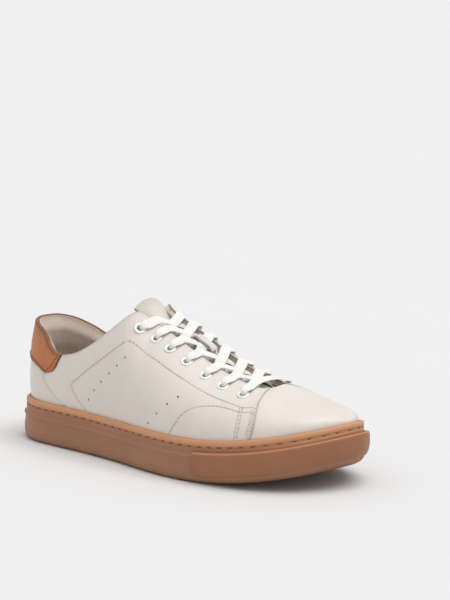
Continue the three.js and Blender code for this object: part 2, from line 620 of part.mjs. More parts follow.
// The free end stands up between the ears, a little higher on the outer side: each row is
// [x, z, half width, sweep back, drop, tilt, shift to the outer side] of an arc.
const TONGUE_END = [
  [-31, 111.8, 14.5, 0.7, 6.5, 0, 4], [-28.3, 106, 14, 1.5, 3.6, 0.3, 2.5], [-22.3, 99.2, 12.4, 3, 5, 0.8, 0.6],
  [-16, 93.5, 14, 2, 7, 0, 0],
];
const TONGUE_ACROSS = [-1, -0.7, -0.4, -0.2, -0.07, 0.07, 0.2, 0.4, 0.7, 1];
const tongueEndRow = ([x, z, half, sweep, drop, tilt, shift]) => TONGUE_ACROSS
  .map((t) => new THREE.Vector3(x - sweep * t * t, half * t - shift, z - drop * t * t - tilt * t));
// The sewn end slides under the vamp.
const sewnEnd = (section) => section.map(({ x, y, z }) => new THREE.Vector3(x + 11, y * 0.9, z - 3.4));
function tongueSheet() {
  const sections = TONGUE_RIBS.map(tongueSection);
  return [...TONGUE_END.map(tongueEndRow), ...sections, sewnEnd(sections[sections.length - 1])];
}

function tongueLayer(outerDepth, innerDepth) {
  const sheet = tongueSheet();
  const clampRow = (i) => sheet[Math.min(Math.max(i, 0), sheet.length - 1)];
  return sheetSolid(sheet.map((row, i) => row.map((point, j) => {
    const along = clampRow(i + 1)[j].clone().sub(clampRow(i - 1)[j]);
    const across = row[Math.min(j + 1, row.length - 1)].clone().sub(row[Math.max(j - 1, 0)]);
    const normal = along.cross(across).normalize();
    return {
      key: `${i},${j}`,
      outer: point.clone().addScaledVector(normal, -outerDepth),
      inner: point.clone().addScaledVector(normal, -innerDepth),
    };
  })));
}
const TONGUE_SHELL = 1.2;
const TONGUE_FOAM = 2.4;
const TONGUE_LINING = 0.8;
const TONGUE_GAP = 0.5;
const foamTop = TONGUE_SHELL + TONGUE_GAP + 0.1;
const tongueLiningTop = foamTop + TONGUE_FOAM + TONGUE_GAP;
addPart('tongue_shell', tongueLayer(0, TONGUE_SHELL), 'leather');
addPart('tongue_foam', tongueLayer(foamTop, foamTop + TONGUE_FOAM), 'foam');
addPart('tongue_lining', tongueLayer(tongueLiningTop, tongueLiningTop + TONGUE_LINING), 'lining');

// ---- lace keeper: a leather strip along the tongue, over the crossing between two eyelet pairs
const KEEPER_PAIR = 2;
const KEEPER_HALF_WIDTH = 0.24; // across the throat
const KEEPER_THICKNESS = 1.2;
const KEEPER_ARCH = [
  [-0.28, -2.1], [-0.24, -2.1], [-0.2, 2.7], [0, 3], [0.2, 2.7], [0.24, -2.1], [0.28, -2.1],
];
const keeperRib = (eyelets[LATERAL][KEEPER_PAIR].throatRib + eyelets[MEDIAL][KEEPER_PAIR + 1].throatRib) / 2;
addPart('lace_keeper', sheetSolid(KEEPER_ARCH.map(([ribs, height], i) => [-1, 0, 1].map((across, j) => {
  const at = (extra) => throatPoint(keeperRib + ribs, across * KEEPER_HALF_WIDTH, height + extra);
  return { key: `${i},${j}`, outer: at(KEEPER_THICKNESS), inner: at(0) };
}))), 'leather');

// ---- lace: one flat lace. From the bar between the lowest eyelets each half enters an eyelet
// from above, runs under the eyestay, comes out at the throat and crosses to the next eyelet up.
const LACE_WIDTH = 6.8;
const LACE_THICKNESS = 1.2;
const FLAT = [LACE_WIDTH, LACE_THICKNESS];
const PINCHED = [5, 1.5];
const BUNCHED = [3.2, 1.9];
const OVER = 1.45;              // middle of the lace above the leather it lies on
const UNDER = 6.3;              // middle of the lace below the outer face of the eyestay
const blend = (a, b) => a.clone().add(b).normalize();
const minus = (vector) => vector.clone().negate();

// Heights of a crossing strand above the throat line, by how far it has got across.
const STRAND_OVER = [[-0.5, -0.8], [-0.2, 1.35], [0.5, 1.7], [0.95, 1.6]];
const STRAND_UNDER = [[-0.48, -1.7], [0, -0.4], [0.45, 0.3], [0.95, 1.6]];
const BAR = [[0, 1.6], [0.5, 1.6], [0.95, 1.6]];

function laceStop(point, normal, [width, thickness]) {
  return { point, normal, width, thickness };
}

// A strand from one edge of the throat to another, tilted to lie flat on the leather where it lands.
function crossing(side, fromRib, landing, heights) {
  return heights.map(([across, height]) => {
    const rib = mix(fromRib, landing.throatRib, (across + 1) / 2);
    const normal = across > 0.9 ? blend(throatUp(rib), landing.normal) : throatUp(rib);
    return laceStop(throatPoint(rib, side * across, height), normal, FLAT);
  });
}

function downThroughEyelet({ centre, normal, inward }) {
  const outward = minus(inward);
  const at = (along, height) => centre.clone().addScaledVector(inward, along).addScaledVector(normal, height);
  return [
    laceStop(at(7, OVER), normal, FLAT),
    laceStop(at(3.9, 2.2), normal, PINCHED),
    laceStop(at(1.1, 1.9), blend(normal, outward), BUNCHED),
    laceStop(at(0, -0.6), outward, BUNCHED),
    laceStop(at(0, -FLANGE_BOTTOM), outward, BUNCHED),
  ];
}

function underEyestay({ centre, normal, inward, edge }) {
  const at = (along, height) => centre.clone().addScaledVector(inward, along).addScaledVector(normal, height);
  return [
    laceStop(at(1.4, -UNDER - 0.5), blend(minus(normal), minus(inward)), PINCHED),
    laceStop(at(5, -UNDER), minus(normal), FLAT),
    laceStop(edge.clone().addScaledVector(normal, -UNDER + 0.2), minus(normal), FLAT),
  ];
}

// The end of the lace is tucked down inside the shoe, against the side lining. The last two
// places are the two ends of its aglet.
const TUCK = [
  [6.42, 0.7], [6.45, 0.55], [6.55, 0.46], [6.75, 0.4], [7.1, 0.3], [7.5, 0.18], [8, 0.06], [8.5, -0.04],
  [9, -0.13],
];
const AGLET_ENDS = [[9.4, -0.2], [10.3, -0.24]];
const TUCK_CLEARANCE = 1.9;
const AGLET_CLEARANCE = 3;

function insideLining(side, rib, v, clearance) {
  return upperPoint(side, rib, v, liningFloor(rib, v) + clearance);
}

function tuckedEnd(side, { centre, normal }) {
  const down = insideLining(side, ...TUCK[0], TUCK_CLEARANCE).sub(centre);
  down.addScaledVector(normal, -down.dot(normal)).normalize();
  const start = centre.clone().addScaledVector(down, 1.4).addScaledVector(normal, -UNDER - 0.5);
  return [
    laceStop(start, blend(normal, down), PINCHED),
    ...TUCK.map(([rib, v]) => laceStop(
      insideLining(side, rib, v, TUCK_CLEARANCE), upperNormal(side, rib, v), FLAT)),
    laceStop(insideLining(side, ...AGLET_ENDS[0], AGLET_CLEARANCE), upperNormal(side, ...AGLET_ENDS[0]), PINCHED),
  ];
}

function halfLace(firstSide) {
  const lowest = eyelets[firstSide][LOWEST];
  const stops = crossing(firstSide, lowest.throatRib, lowest, BAR);
  let side = firstSide;
  let face = 1;
  const add = (list) => stops.push(...list.map((stop) => ({ ...stop, normal: stop.normal.clone().multiplyScalar(face) })));
  for (let i = LOWEST; i > 0; i -= 1) {
    add(downThroughEyelet(eyelets[side][i]));
    add(underEyestay(eyelets[side][i]));
    face = -face;
    side = -side;
    const heights = side === MEDIAL ? STRAND_OVER : STRAND_UNDER;
    add(crossing(side, eyelets[-side][i].throatRib, eyelets[side][i - 1], heights));
  }
  add(downThroughEyelet(eyelets[side][0]));
  add(tuckedEnd(side, eyelets[side][0]));
  return stops;
}

// A six-sided flat section carried along the stops.
function laceGeometry(stops) {
  const rings = stops.map(({ point, normal, width, thickness }, i) => {
    const ahead = stops[Math.min(i + 1, stops.length - 1)].point;
    const behind = stops[Math.max(i - 1, 0)].point;
    const along = ahead.clone().sub(behind).normalize();
    const across = along.clone().cross(normal).normalize();
    const face = across.clone().cross(along).normalize();
    const [half, shoulder, thick] = [width / 2, width / 2 - thickness / 2, thickness / 2];
    return [[half, 0], [shoulder, thick], [-shoulder, thick], [-half, 0], [-shoulder, -thick], [shoulder, -thick]]
      .map(([a, f]) => point.clone().addScaledVector(across, a).addScaledVector(face, f));
  });
  const size = rings[0].length;
  const triangles = [];
  for (let i = 0; i < rings.length - 1; i += 1) {
    for (let k = 0; k < size; k += 1) {
      const [a, b] = [i * size + k, i * size + (k + 1) % size];
      triangles.push([a, b + size, b], [a, a + size, b + size]);
    }
  }
  const last = (rings.length - 1) * size;
  for (let k = 1; k < size - 1; k += 1) triangles.push([0, k, k + 1], [last, last + k + 1, last + k]);
  return meshGeometry(rings.flat(), triangles);
}

const medialHalf = halfLace(MEDIAL);
const lateralHalf = halfLace(LATERAL);
const laceStops = [...medialHalf.slice(1).reverse(), ...lateralHalf];
addPart('lace', laceGeometry(laceStops), 'lace');

const AGLET_LENGTH = 18;
const AGLET_RADIUS = 1.7;
for (const [name, side, half] of [['medial_aglet', MEDIAL, medialHalf], ['lateral_aglet', LATERAL, lateralHalf]]) {
  const start = half[half.length - 1].point;
  const along = insideLining(side, ...AGLET_ENDS[1], AGLET_CLEARANCE).sub(start).normalize();
  const aglet = new THREE.CylinderGeometry(AGLET_RADIUS, AGLET_RADIUS, AGLET_LENGTH, 8);
  const centre = start.clone().addScaledVector(along, AGLET_LENGTH / 2 + GAP);
  addPart(name, standOn(aglet, { centre, normal: along }), 'plastic');
}

// The origin is on the ground, under the middle of the shoe.
const bounds = new THREE.Box3().setFromObject(shoe);
const middle = bounds.getCenter(new THREE.Vector3());
shoe.position.set(-middle.x, -middle.y, -bounds.min.z);

export default shoe;
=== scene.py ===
"""Low-cut leather court shoe, right foot: the looks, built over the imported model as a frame.

Shapes are worked out in millimetres in the shoe's design frame (+X toe, +Y inner side, +Z up), and
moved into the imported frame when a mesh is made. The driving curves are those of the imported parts,
except that the toe has a slightly fuller crown and that the panel seams are curved.
"""

import bmesh
import bpy
import numpy as np
from mathutils import Matrix, Vector


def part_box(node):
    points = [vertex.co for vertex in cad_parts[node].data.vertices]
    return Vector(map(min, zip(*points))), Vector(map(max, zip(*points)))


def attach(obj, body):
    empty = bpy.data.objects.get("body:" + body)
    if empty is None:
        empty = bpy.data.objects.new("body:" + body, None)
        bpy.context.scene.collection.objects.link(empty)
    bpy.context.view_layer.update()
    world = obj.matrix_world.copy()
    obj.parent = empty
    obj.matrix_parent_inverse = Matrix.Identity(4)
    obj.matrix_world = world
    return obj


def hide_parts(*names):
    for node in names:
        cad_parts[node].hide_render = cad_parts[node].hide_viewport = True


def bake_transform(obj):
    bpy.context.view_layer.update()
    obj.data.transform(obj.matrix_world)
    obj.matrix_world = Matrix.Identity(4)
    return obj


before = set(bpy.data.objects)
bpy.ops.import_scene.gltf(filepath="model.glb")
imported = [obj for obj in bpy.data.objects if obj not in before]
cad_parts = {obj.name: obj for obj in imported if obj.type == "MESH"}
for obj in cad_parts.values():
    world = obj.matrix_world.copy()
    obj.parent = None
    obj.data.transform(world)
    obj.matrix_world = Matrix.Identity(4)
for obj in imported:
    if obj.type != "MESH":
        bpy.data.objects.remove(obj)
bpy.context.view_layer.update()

# ---------------------------------------------------------------- driving dimensions, millimetres
LATERAL = -1
MEDIAL = 1
SIDES = ((LATERAL, "lateral"), (MEDIAL, "medial"))
LAST_STATION = 14               # ribs are numbered from 0 at the heel to 14 at the toe
RING = 2 * LAST_STATION         # ring positions run once round the shoe, heel to heel
SPRING_START = 40.0
SPRING_HEIGHT = 16.5
HALF_LENGTH = 150.0
SOLE_HEIGHT = 29.0
HEEL_LIFT = 1.2
LEDGE_HEIGHT = 18.4
BAND_INSET = 1.8
UPPER_INSET = 5.2
TOE_INSET = 2.5
SKIRT = 13.5
FOOT_LEAN = np.radians(7)
GAP = 0.4
MM = 0.001

OUTLINE = {
    LATERAL: [
        (-150, 0), (-147, -16.1), (-138, -27.7), (-120, -37.2), (-95, -40.2), (-60, -42.4), (-25, -46.8),
        (10, -53.6), (40, -56.4), (70, -54.6), (95, -49.5), (115, -40.8), (132, -28.3), (144, -11.6),
        (150, 8),
    ],
    MEDIAL: [
        (-150, 0), (-147, 16), (-137, 29), (-118, 36.6), (-92, 38), (-60, 35.8), (-27, 35.5), (6, 40.5),
        (36, 47.8), (66, 51.8), (93, 50.6), (115, 45.4), (133.1, 35.1), (144.9, 22.9), (150, 8),
    ],
}
RIDGE = [
    (10, 88.5, 4, 63.4), (11, 102, 5.2, 57.6), (12, 115, 6.5, 53.2), (13, 127, 7.4, 49.8),
    (14, 137, 8, 46.6),
]
TOPLINE = {
    LATERAL: [
        (0, -141, 0, 87.5), (1, -139.5, -11, 87), (2, -131, -19.5, 84.5), (3, -116, -25.5, 78.5),
        (3.5, -108.5, -28.7, 71.5), (4, -98, -31.5, 67), (4.6, -77, -34, 70.5), (5.1, -58, -34, 80),
        (5.6, -44, -32.5, 90), (5.9, -35, -30, 97.3), (6.1, -29, -26.8, 102.4), (6.3, -25, -22, 104.6),
        (6.5, -21, -17.8, 102.4), (6.7, -15.5, -15.2, 98.3), (7.1, -3, -14.6, 92.7),
        (7.6, 14, -14.5, 84.8), (8.2, 36, -14.5, 75.2), (8.8, 56, -14.3, 68), (9.3, 72, -13.5, 63.8),
        (9.6, 81.5, -10.5, 61.8), (9.8, 86.5, -4, 62.4), *RIDGE,
    ],
    MEDIAL: [
        (0, -141, 0, 87.5), (1, -139.5, 11, 86.8), (2, -131, 20.5, 83.8), (3, -118, 27, 77.8),
        (3.5, -109, 30, 73), (4, -98, 32, 70.5), (4.6, -79, 33.5, 73), (5.1, -63, 33.8, 80),
        (5.6, -50, 32, 89), (5.9, -43.5, 29.3, 96), (6.1, -39, 25.5, 101.5), (6.3, -35, 20.5, 104.3),
        (6.5, -29, 16.5, 102.4), (6.7, -20, 14.8, 98.3), (7.1, -6, 14.5, 92.5),
        (7.6, 12, 14.5, 84.4), (8.2, 33, 14.5, 74.2), (8.8, 53, 14.5, 67.2), (9.3, 70, 14.4, 63.6),
        (9.6, 80.5, 13, 62), (9.8, 86.5, 9.5, 62.4), *RIDGE,
    ],
}
# Rib, angle below level at the top line, pull of the curve at the top and at the foot.
CROWN = [
    (0, 80, 0.36, 0.42), (3, 80, 0.34, 0.42), (4, 78, 0.3, 0.42), (5, 74, 0.34, 0.42), (6, 62, 0.36, 0.42),
    (6.5, 46, 0.34, 0.42), (7, 36, 0.34, 0.42), (8, 30, 0.36, 0.42), (9, 24, 0.36, 0.4),
    (10, 12, 0.36, 0.38), (11, 11, 0.36, 0.37), (12, 12, 0.38, 0.4), (13, 13, 0.42, 0.48),
    (14, 18, 0.5, 0.56),
]


# ---------------------------------------------------------------- curves and the shape of the upper
def between(value, low, high):
    t = np.clip((np.asarray(value, float) - low) / (high - low), 0, 1)
    return t * t * (3 - 2 * t)


def mix(a, b, t):
    return a + (b - a) * t


def unit(vectors):
    return vectors / np.maximum(np.linalg.norm(vectors, axis=-1, keepdims=True), 1e-12)


def distance_along(points):
    """Distance of each point of a line from its first point."""
    return np.concatenate([[0], np.cumsum(np.linalg.norm(np.diff(points, axis=0), axis=-1))])


def round_circle(steps):
    """Angles of evenly spaced points round a circle."""
    return np.arange(steps) * 2 * np.pi / steps


def doubled(values):
    """The values twice over, for the two faces of a shell or the two ends of a stitch."""
    return np.concatenate([values, values])


def keyed_curve(keys):
    """A smooth curve through keyed points. Each key is (parameter, *values)."""
    keys = np.array(keys, float)
    t, p = keys[:, 0], keys[:, 1:]
    before = np.maximum(np.arange(len(t)) - 1, 0)
    after = np.minimum(np.arange(len(t)) + 1, len(t) - 1)
    slope = (p[after] - p[before]) / (t[after] - t[before])[:, None]

    def curve(x):
        x = np.asarray(x, float)
        i = np.searchsorted(t[1:-1], x, side="left")
        h = (t[i + 1] - t[i])[..., None]
        s = (x - t[i])[..., None] / h
        return ((2 * s**3 - 3 * s**2 + 1) * p[i] + (s**3 - 2 * s**2 + s) * slope[i] * h
                + (3 * s**2 - 2 * s**3) * p[i + 1] + (s**3 - s**2) * slope[i + 1] * h)

    return curve


def outline_curve(side):
    points = [OUTLINE[-side][1], *OUTLINE[side], OUTLINE[-side][LAST_STATION - 1]]
    return keyed_curve([(i - 1, *point) for i, point in enumerate(points)])


def topline_curve(side):
    own = TOPLINE[side]
    beyond = tuple(2 * a - b for a, b in zip(own[-1], own[-2]))
    return keyed_curve([(-1, *TOPLINE[-side][1][1:]), *own, beyond])


outline = {side: outline_curve(side) for side in (LATERAL, MEDIAL)}
topline = {side: topline_curve(side) for side in (LATERAL, MEDIAL)}
crown = keyed_curve(CROWN)


def by_side(curves, side, rib):
    return np.where((side < 0)[..., None], curves[LATERAL](rib), curves[MEDIAL](rib))


def sole_height(x, height):
    """Height above the ground of a sole feature: the sole curls up at the toe and is taller at the heel."""
    spring = SPRING_HEIGHT * np.maximum(0, (x - SPRING_START) / (HALF_LENGTH - SPRING_START)) ** 2
    heel = 1 - between(x, -90, -20)
    return spring + height * (1 + heel * HEEL_LIFT / SOLE_HEIGHT)


def outline_point(side, rib, inset, height):
    side, rib, inset, height = np.broadcast_arrays(side, np.asarray(rib, float), inset, height)
    here = by_side(outline, side, rib)
    run = unit(by_side(outline, side, rib + 0.02) - by_side(outline, side, rib - 0.02))
    x = here[..., 0] + side * run[..., 1] * inset
    y = here[..., 1] - side * run[..., 0] * inset
    return np.stack([x, y, sole_height(x, height)], -1)


def upper_inset(rib):
    return UPPER_INSET + TOE_INSET * between(rib, 12, LAST_STATION)


def upper_face(side, rib, v):
    """The outer face of the upper: v is 0 at the lip of the sole and 1 at the top line."""
    side, rib, v = np.broadcast_arrays(side, np.asarray(rib, float), np.asarray(v, float))
    foot = outline_point(side, rib, upper_inset(rib), SOLE_HEIGHT - 1)
    top = by_side(topline, side, rib)
    angle, top_pull, foot_pull = np.moveaxis(crown(rib), -1, 0)
    out = foot - top
    out[..., 2] = 0
    out = unit(out)
    span = np.linalg.norm(foot - top, axis=-1)
    up = np.zeros_like(out)
    up[..., 2] = 1
    rise = out * np.sin(FOOT_LEAN) + up * np.cos(FOOT_LEAN)
    drop = np.radians(angle)[..., None]
    fall = out * np.cos(drop) - up * np.sin(drop)
    b = foot + rise * (foot_pull * span)[..., None]
    c = top + fall * (top_pull * span)[..., None]
    t = np.clip(v, 0, 1)[..., None]
    point = (1 - t) ** 3 * foot + 3 * (1 - t) ** 2 * t * b + 3 * (1 - t) * t * t * c + t**3 * top
    return point + up * (np.minimum(v, 0) * SKIRT)[..., None]


def ring_rib(q):
    turn = np.mod(q, RING)
    return np.where(turn <= LAST_STATION, LATERAL, MEDIAL), np.where(turn <= LAST_STATION, turn, RING - turn)


RIDGE_FROM = 9.95               # the two sides join along the ridge of the vamp from this rib on
RIDGE_ROUNDING = 0.16


def raw_face(q, v):
    """The outer face by ring position. Above 1, v carries on down the other side of the ridge."""
    over = v > 1
    return upper_face(*ring_rib(np.where(over, RING - q, q)), np.where(over, 2 - v, v))


def face(q, v):
    """The outer face, with the ridge of the vamp rounded over."""
    q, v = np.broadcast_arrays(np.asarray(q, float), np.asarray(v, float))
    rib = ring_rib(q)[1]
    reach = RIDGE_ROUNDING * between(rib, RIDGE_FROM, 10.4) * (1 - between(np.abs(1 - v), 0.0, 0.5))
    ahead = np.where(rib < RIDGE_FROM, v, v + reach)
    return (raw_face(q, v - reach) + 2 * raw_face(q, v) + raw_face(q, ahead)) / 4


def normal(q, v):
    q, v = np.broadcast_arrays(np.asarray(q, float), np.asarray(v, float))
    joined = ring_rib(q)[1] > RIDGE_FROM
    step = 0.03
    inside = np.clip(v, 0, 1)
    low = np.maximum(inside - step, 0)
    high = np.where(joined, inside + step, np.minimum(inside + step, 1))
    along = face(q + step, inside) - face(q - step, inside)
    n = np.cross(along, face(q, high) - face(q, low))
    n[..., 2] = np.where(v < 0, 0, n[..., 2])
    return unit(n)


def below(q, v, depth):
    """A point under the outer face by a depth."""
    return face(q, v) - normal(q, v) * np.asarray(depth, float)[..., None]


# ---------------------------------------------------------------- meshes
sole_low, sole_high = (np.array(corner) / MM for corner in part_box("cupsole"))
SHIFT = np.append((sole_low[:2] + sole_high[:2]) / 2, 0)
stations = np.linspace(0, LAST_STATION, 2000)
outer_edge = np.concatenate([outline[side](stations) for side in (LATERAL, MEDIAL)])
SHIFT[:2] -= (outer_edge.min(0) + outer_edge.max(0)) / 2


def placed(points):
    return (np.asarray(points, float) + SHIFT) * MM


def make_object(name, points, faces, material, attributes=None, uv=None, sharp=40):
    """A mesh object from points in millimetres in the design frame."""
    mesh = bpy.data.meshes.new(name)
    mesh.from_pydata(placed(points).tolist(), [], [list(map(int, f)) for f in faces])
    for key, values in (attributes or {}).items():
        mesh.attributes.new(key, "FLOAT", "POINT").data.foreach_set("value", np.asarray(values, float))
    if uv is not None:
        layer = mesh.uv_layers.new(name="UVMap")
        corners = np.zeros(len(mesh.loops), int)
        mesh.loops.foreach_get("vertex_index", corners)
        layer.data.foreach_set("uv", np.asarray(uv, float)[corners].ravel())
    mesh.shade_smooth()
    mesh.set_sharp_from_angle(angle=np.radians(sharp))
    mesh.materials.append(material)
    obj = bpy.data.objects.new(name, mesh)
    bpy.context.scene.collection.objects.link(obj)
    return obj


def welded(points):
    """Point numbers in which equal points share one number, and the points themselves."""
    flat = points.reshape(-1, 3)
    _, first, ids = np.unique(np.round(flat, 3), axis=0, return_index=True, return_inverse=True)
    return first, ids.reshape(points.shape[:-1])


def closed(ids):
    """Point numbers of a grid whose last column joins its first."""
    return np.concatenate([ids, ids[:, :1]], 1)


def grid_faces(ids, wrap=False):
    nxt = np.roll(ids, -1, axis=0) if wrap else ids[1:]
    here = ids if wrap else ids[:-1]
    quads = np.stack([here[:, :-1], nxt[:, :-1], nxt[:, 1:], here[:, 1:]], -1).reshape(-1, 4)
    faces = [list(dict.fromkeys(quad)) for quad in quads.tolist()]
    return [f for f in faces if len(f) > 2]


def closed_shell(outer, inner):
    """Faces of a shell between two point grids, with walls along the free edges."""
    first, ids = welded(outer)
    count = len(first)
    faces = grid_faces(ids)
    used = {(f[k], f[(k + 1) % len(f)]) for f in faces for k in range(len(f))}
    walls = [[b, a, a + count, b + count] for a, b in sorted(used) if (b, a) not in used]
    back = [[k + count for k in reversed(f)] for f in faces]
    points = np.concatenate([outer.reshape(-1, 3)[first], inner.reshape(-1, 3)[first]])
    return points, faces + back + walls, first


def edge_distance(points, free=(True, True, True, True)):
    """Distance of each grid point from the nearest free edge: start, end, low and high side."""
    away = np.full(points.shape[:2], 1e3)
    for axis in (0, 1):
        steps = np.linalg.norm(np.diff(points, axis=axis), axis=-1)
        run = np.concatenate([np.zeros_like(steps.take([0], axis)), np.cumsum(steps, axis)], axis)
        total = run.take([-1], axis)
        if free[2 * axis]:
            away = np.minimum(away, run)
        if free[2 * axis + 1]:
            away = np.minimum(away, total - run)
    return away


def spread(length, step, near=(0, 0.1, 0.25, 0.45, 0.7, 1.1)):
    """Places from 0 to 1 along a panel: a step apart in the middle, and closer at both ends."""
    ends = np.array(near) / length
    count = max(3, round(length / step))
    return np.concatenate([ends, np.linspace(ends[-1], 1 - ends[-1], count)[1:-1], 1 - ends[::-1]])


def rounded(away, radius):
    """How far a surface has dropped, this far from a rounded edge."""
    t = np.clip(1 - away / radius, 0, 1)
    return radius * (1 - np.sqrt(1 - t * t))


def leather_shell(name, q, v, outer, inner, material, radius=0.6, free=(True,) * 4, relief=None,
                  edge_width=0.8):
    """A panel of the upper over a grid of places, with rounded free edges."""
    away = edge_distance(face(q, v), free)
    top = outer + rounded(away, radius)
    if relief is not None:
        top = top + relief(q, v, face(q, v))
    thickness = np.maximum(inner - np.asarray(outer, float), 0.5)
    bottom = np.maximum(outer + thickness + 0 * top, top + 0.3)
    points, faces, first = closed_shell(below(q, v, top), below(q, v, bottom))
    # Edge colour mask near the free edges: the cut edge, and painted shade along the seam steps.
    cut_edge_and_shade = np.exp(-away.ravel()[first] / edge_width)
    return make_object(name, points, faces, material, {"cut_edge_and_shade": doubled(cut_edge_and_shade)})


def fillet(profile, radius, steps=3):
    """A closed-end profile with its inner corners rounded."""
    profile = [np.array(p, float) for p in profile]
    out = [profile[0]]
    for before, corner, after in zip(profile, profile[1:], profile[2:]):
        a, b = before - corner, after - corner
        cut = min(radius, np.linalg.norm(a) * 0.45, np.linalg.norm(b) * 0.45)
        start, end = corner + unit(a) * cut, corner + unit(b) * cut
        for t in np.linspace(0, 1, steps + 1):
            out.append((1 - t) ** 2 * start + 2 * (1 - t) * t * corner + t * t * end)
    out.append(profile[-1])
    return out


def outline_rows(rows, per_rib=12):
    """Points of rows that follow the outline. A row is (inset, height, spine): inset is a function
    of the rib, and spine is how far the row has moved from the outline (0) to the sole's middle (1)."""
    q = np.arange(RING * per_rib) / per_rib
    side, rib = ring_rib(q)
    points = []
    for inset, height, spine in rows:
        own = outline_point(side, rib, inset(rib), height)
        other = outline_point(-side, rib, inset(rib), height)
        points.append(mix(own, other, spine / 2))
    return np.stack(points, 1)


def outline_body(name, rows, material, attributes=None, sharp=40):
    points = outline_rows(rows)
    first, ids = welded(points)
    faces = grid_faces(ids, wrap=True)
    tone = {key: np.broadcast_to(values, points.shape[:2]).ravel()[first]
            for key, values in (attributes or {}).items()}
    return make_object(name, points.reshape(-1, 3)[first], faces, material, tone, sharp=sharp)


def swept_tube(name, points, ups, sections, material, sharp=50):
    """A closed section carried along points. sections[i] is a list of (across, up)."""
    along = unit(np.gradient(points, axis=0))
    across = unit(np.cross(along, ups))
    up = np.cross(across, along)
    rings = (points[:, None] + across[:, None] * sections[..., :1] + up[:, None] * sections[..., 1:])
    count, size = rings.shape[:2]
    ids = np.arange(count * size).reshape(count, size)
    faces = [f[::-1] for f in grid_faces(closed(ids))]
    faces += [list(range(size)), list(range((count - 1) * size, count * size))[::-1]]
    run = distance_along(points)
    uv = np.stack([np.broadcast_to(sections[..., 0], (count, size)),
                   np.broadcast_to(run[:, None], (count, size))], -1).reshape(-1, 2) * MM
    return make_object(name, rings.reshape(-1, 3), faces, material, uv=uv, sharp=sharp)


def revolve(name, profile, places, material, steps=40, sharp=35):
    """One closed profile of (radius, height) turned about each place's (centre, axis)."""
    angle = round_circle(steps)
    profile = np.array(profile, float)
    points, faces = [], []
    for centre, axis in places:
        side = unit(np.cross(axis, [1.0, 0.1, 0.2]))
        other = np.cross(axis, side)
        radial = np.cos(angle)[:, None] * side + np.sin(angle)[:, None] * other
        ring = centre + radial[:, None] * profile[None, :, :1] + axis * profile[None, :, 1:]
        ids = np.arange(steps * len(profile)).reshape(steps, -1) + len(points) * steps * len(profile)
        faces += grid_faces(closed(ids), wrap=True)
        points.append(ring.reshape(-1, 3))
    return make_object(name, np.concatenate(points), faces, material, sharp=sharp)


def cut_holes(obj, places, radius, depth=14, steps=20):
    """Cut round holes through a mesh at each (centre, axis)."""
    bm = bmesh.new()
    for centre, axis in places:
        turn = Vector((0, 0, 1)).rotation_difference(Vector(axis)).to_matrix().to_4x4()
        at = Matrix.Translation(Vector(placed(centre))) @ turn
        bmesh.ops.create_cone(bm, cap_ends=True, segments=steps, radius1=radius * MM, radius2=radius * MM,
                              depth=depth * MM, matrix=at)
    mesh = bpy.data.meshes.new("cutter")
    bm.to_mesh(mesh)
    bm.free()
    cutter = bpy.data.objects.new("cutter", mesh)
    bpy.context.scene.collection.objects.link(cutter)
    cut = obj.modifiers.new("holes", "BOOLEAN")
    cut.operation = "DIFFERENCE"
    cut.solver = "EXACT"
    cut.object = cutter
    result = bpy.data.meshes.new_from_object(obj.evaluated_get(bpy.context.evaluated_depsgraph_get()))
    obj.modifiers.clear()
    obj.data = result
    result.set_sharp_from_angle(angle=np.radians(40))
    bpy.data.objects.remove(cutter)


# ---------------------------------------------------------------- materials
def srgb(r, g, b):
    """Linear colour from 0-255 display values."""
    c = np.array([r, g, b]) / 255
    return (*np.where(c <= 0.04045, c / 12.92, ((c + 0.055) / 1.055) ** 2.4).tolist(), 1.0)


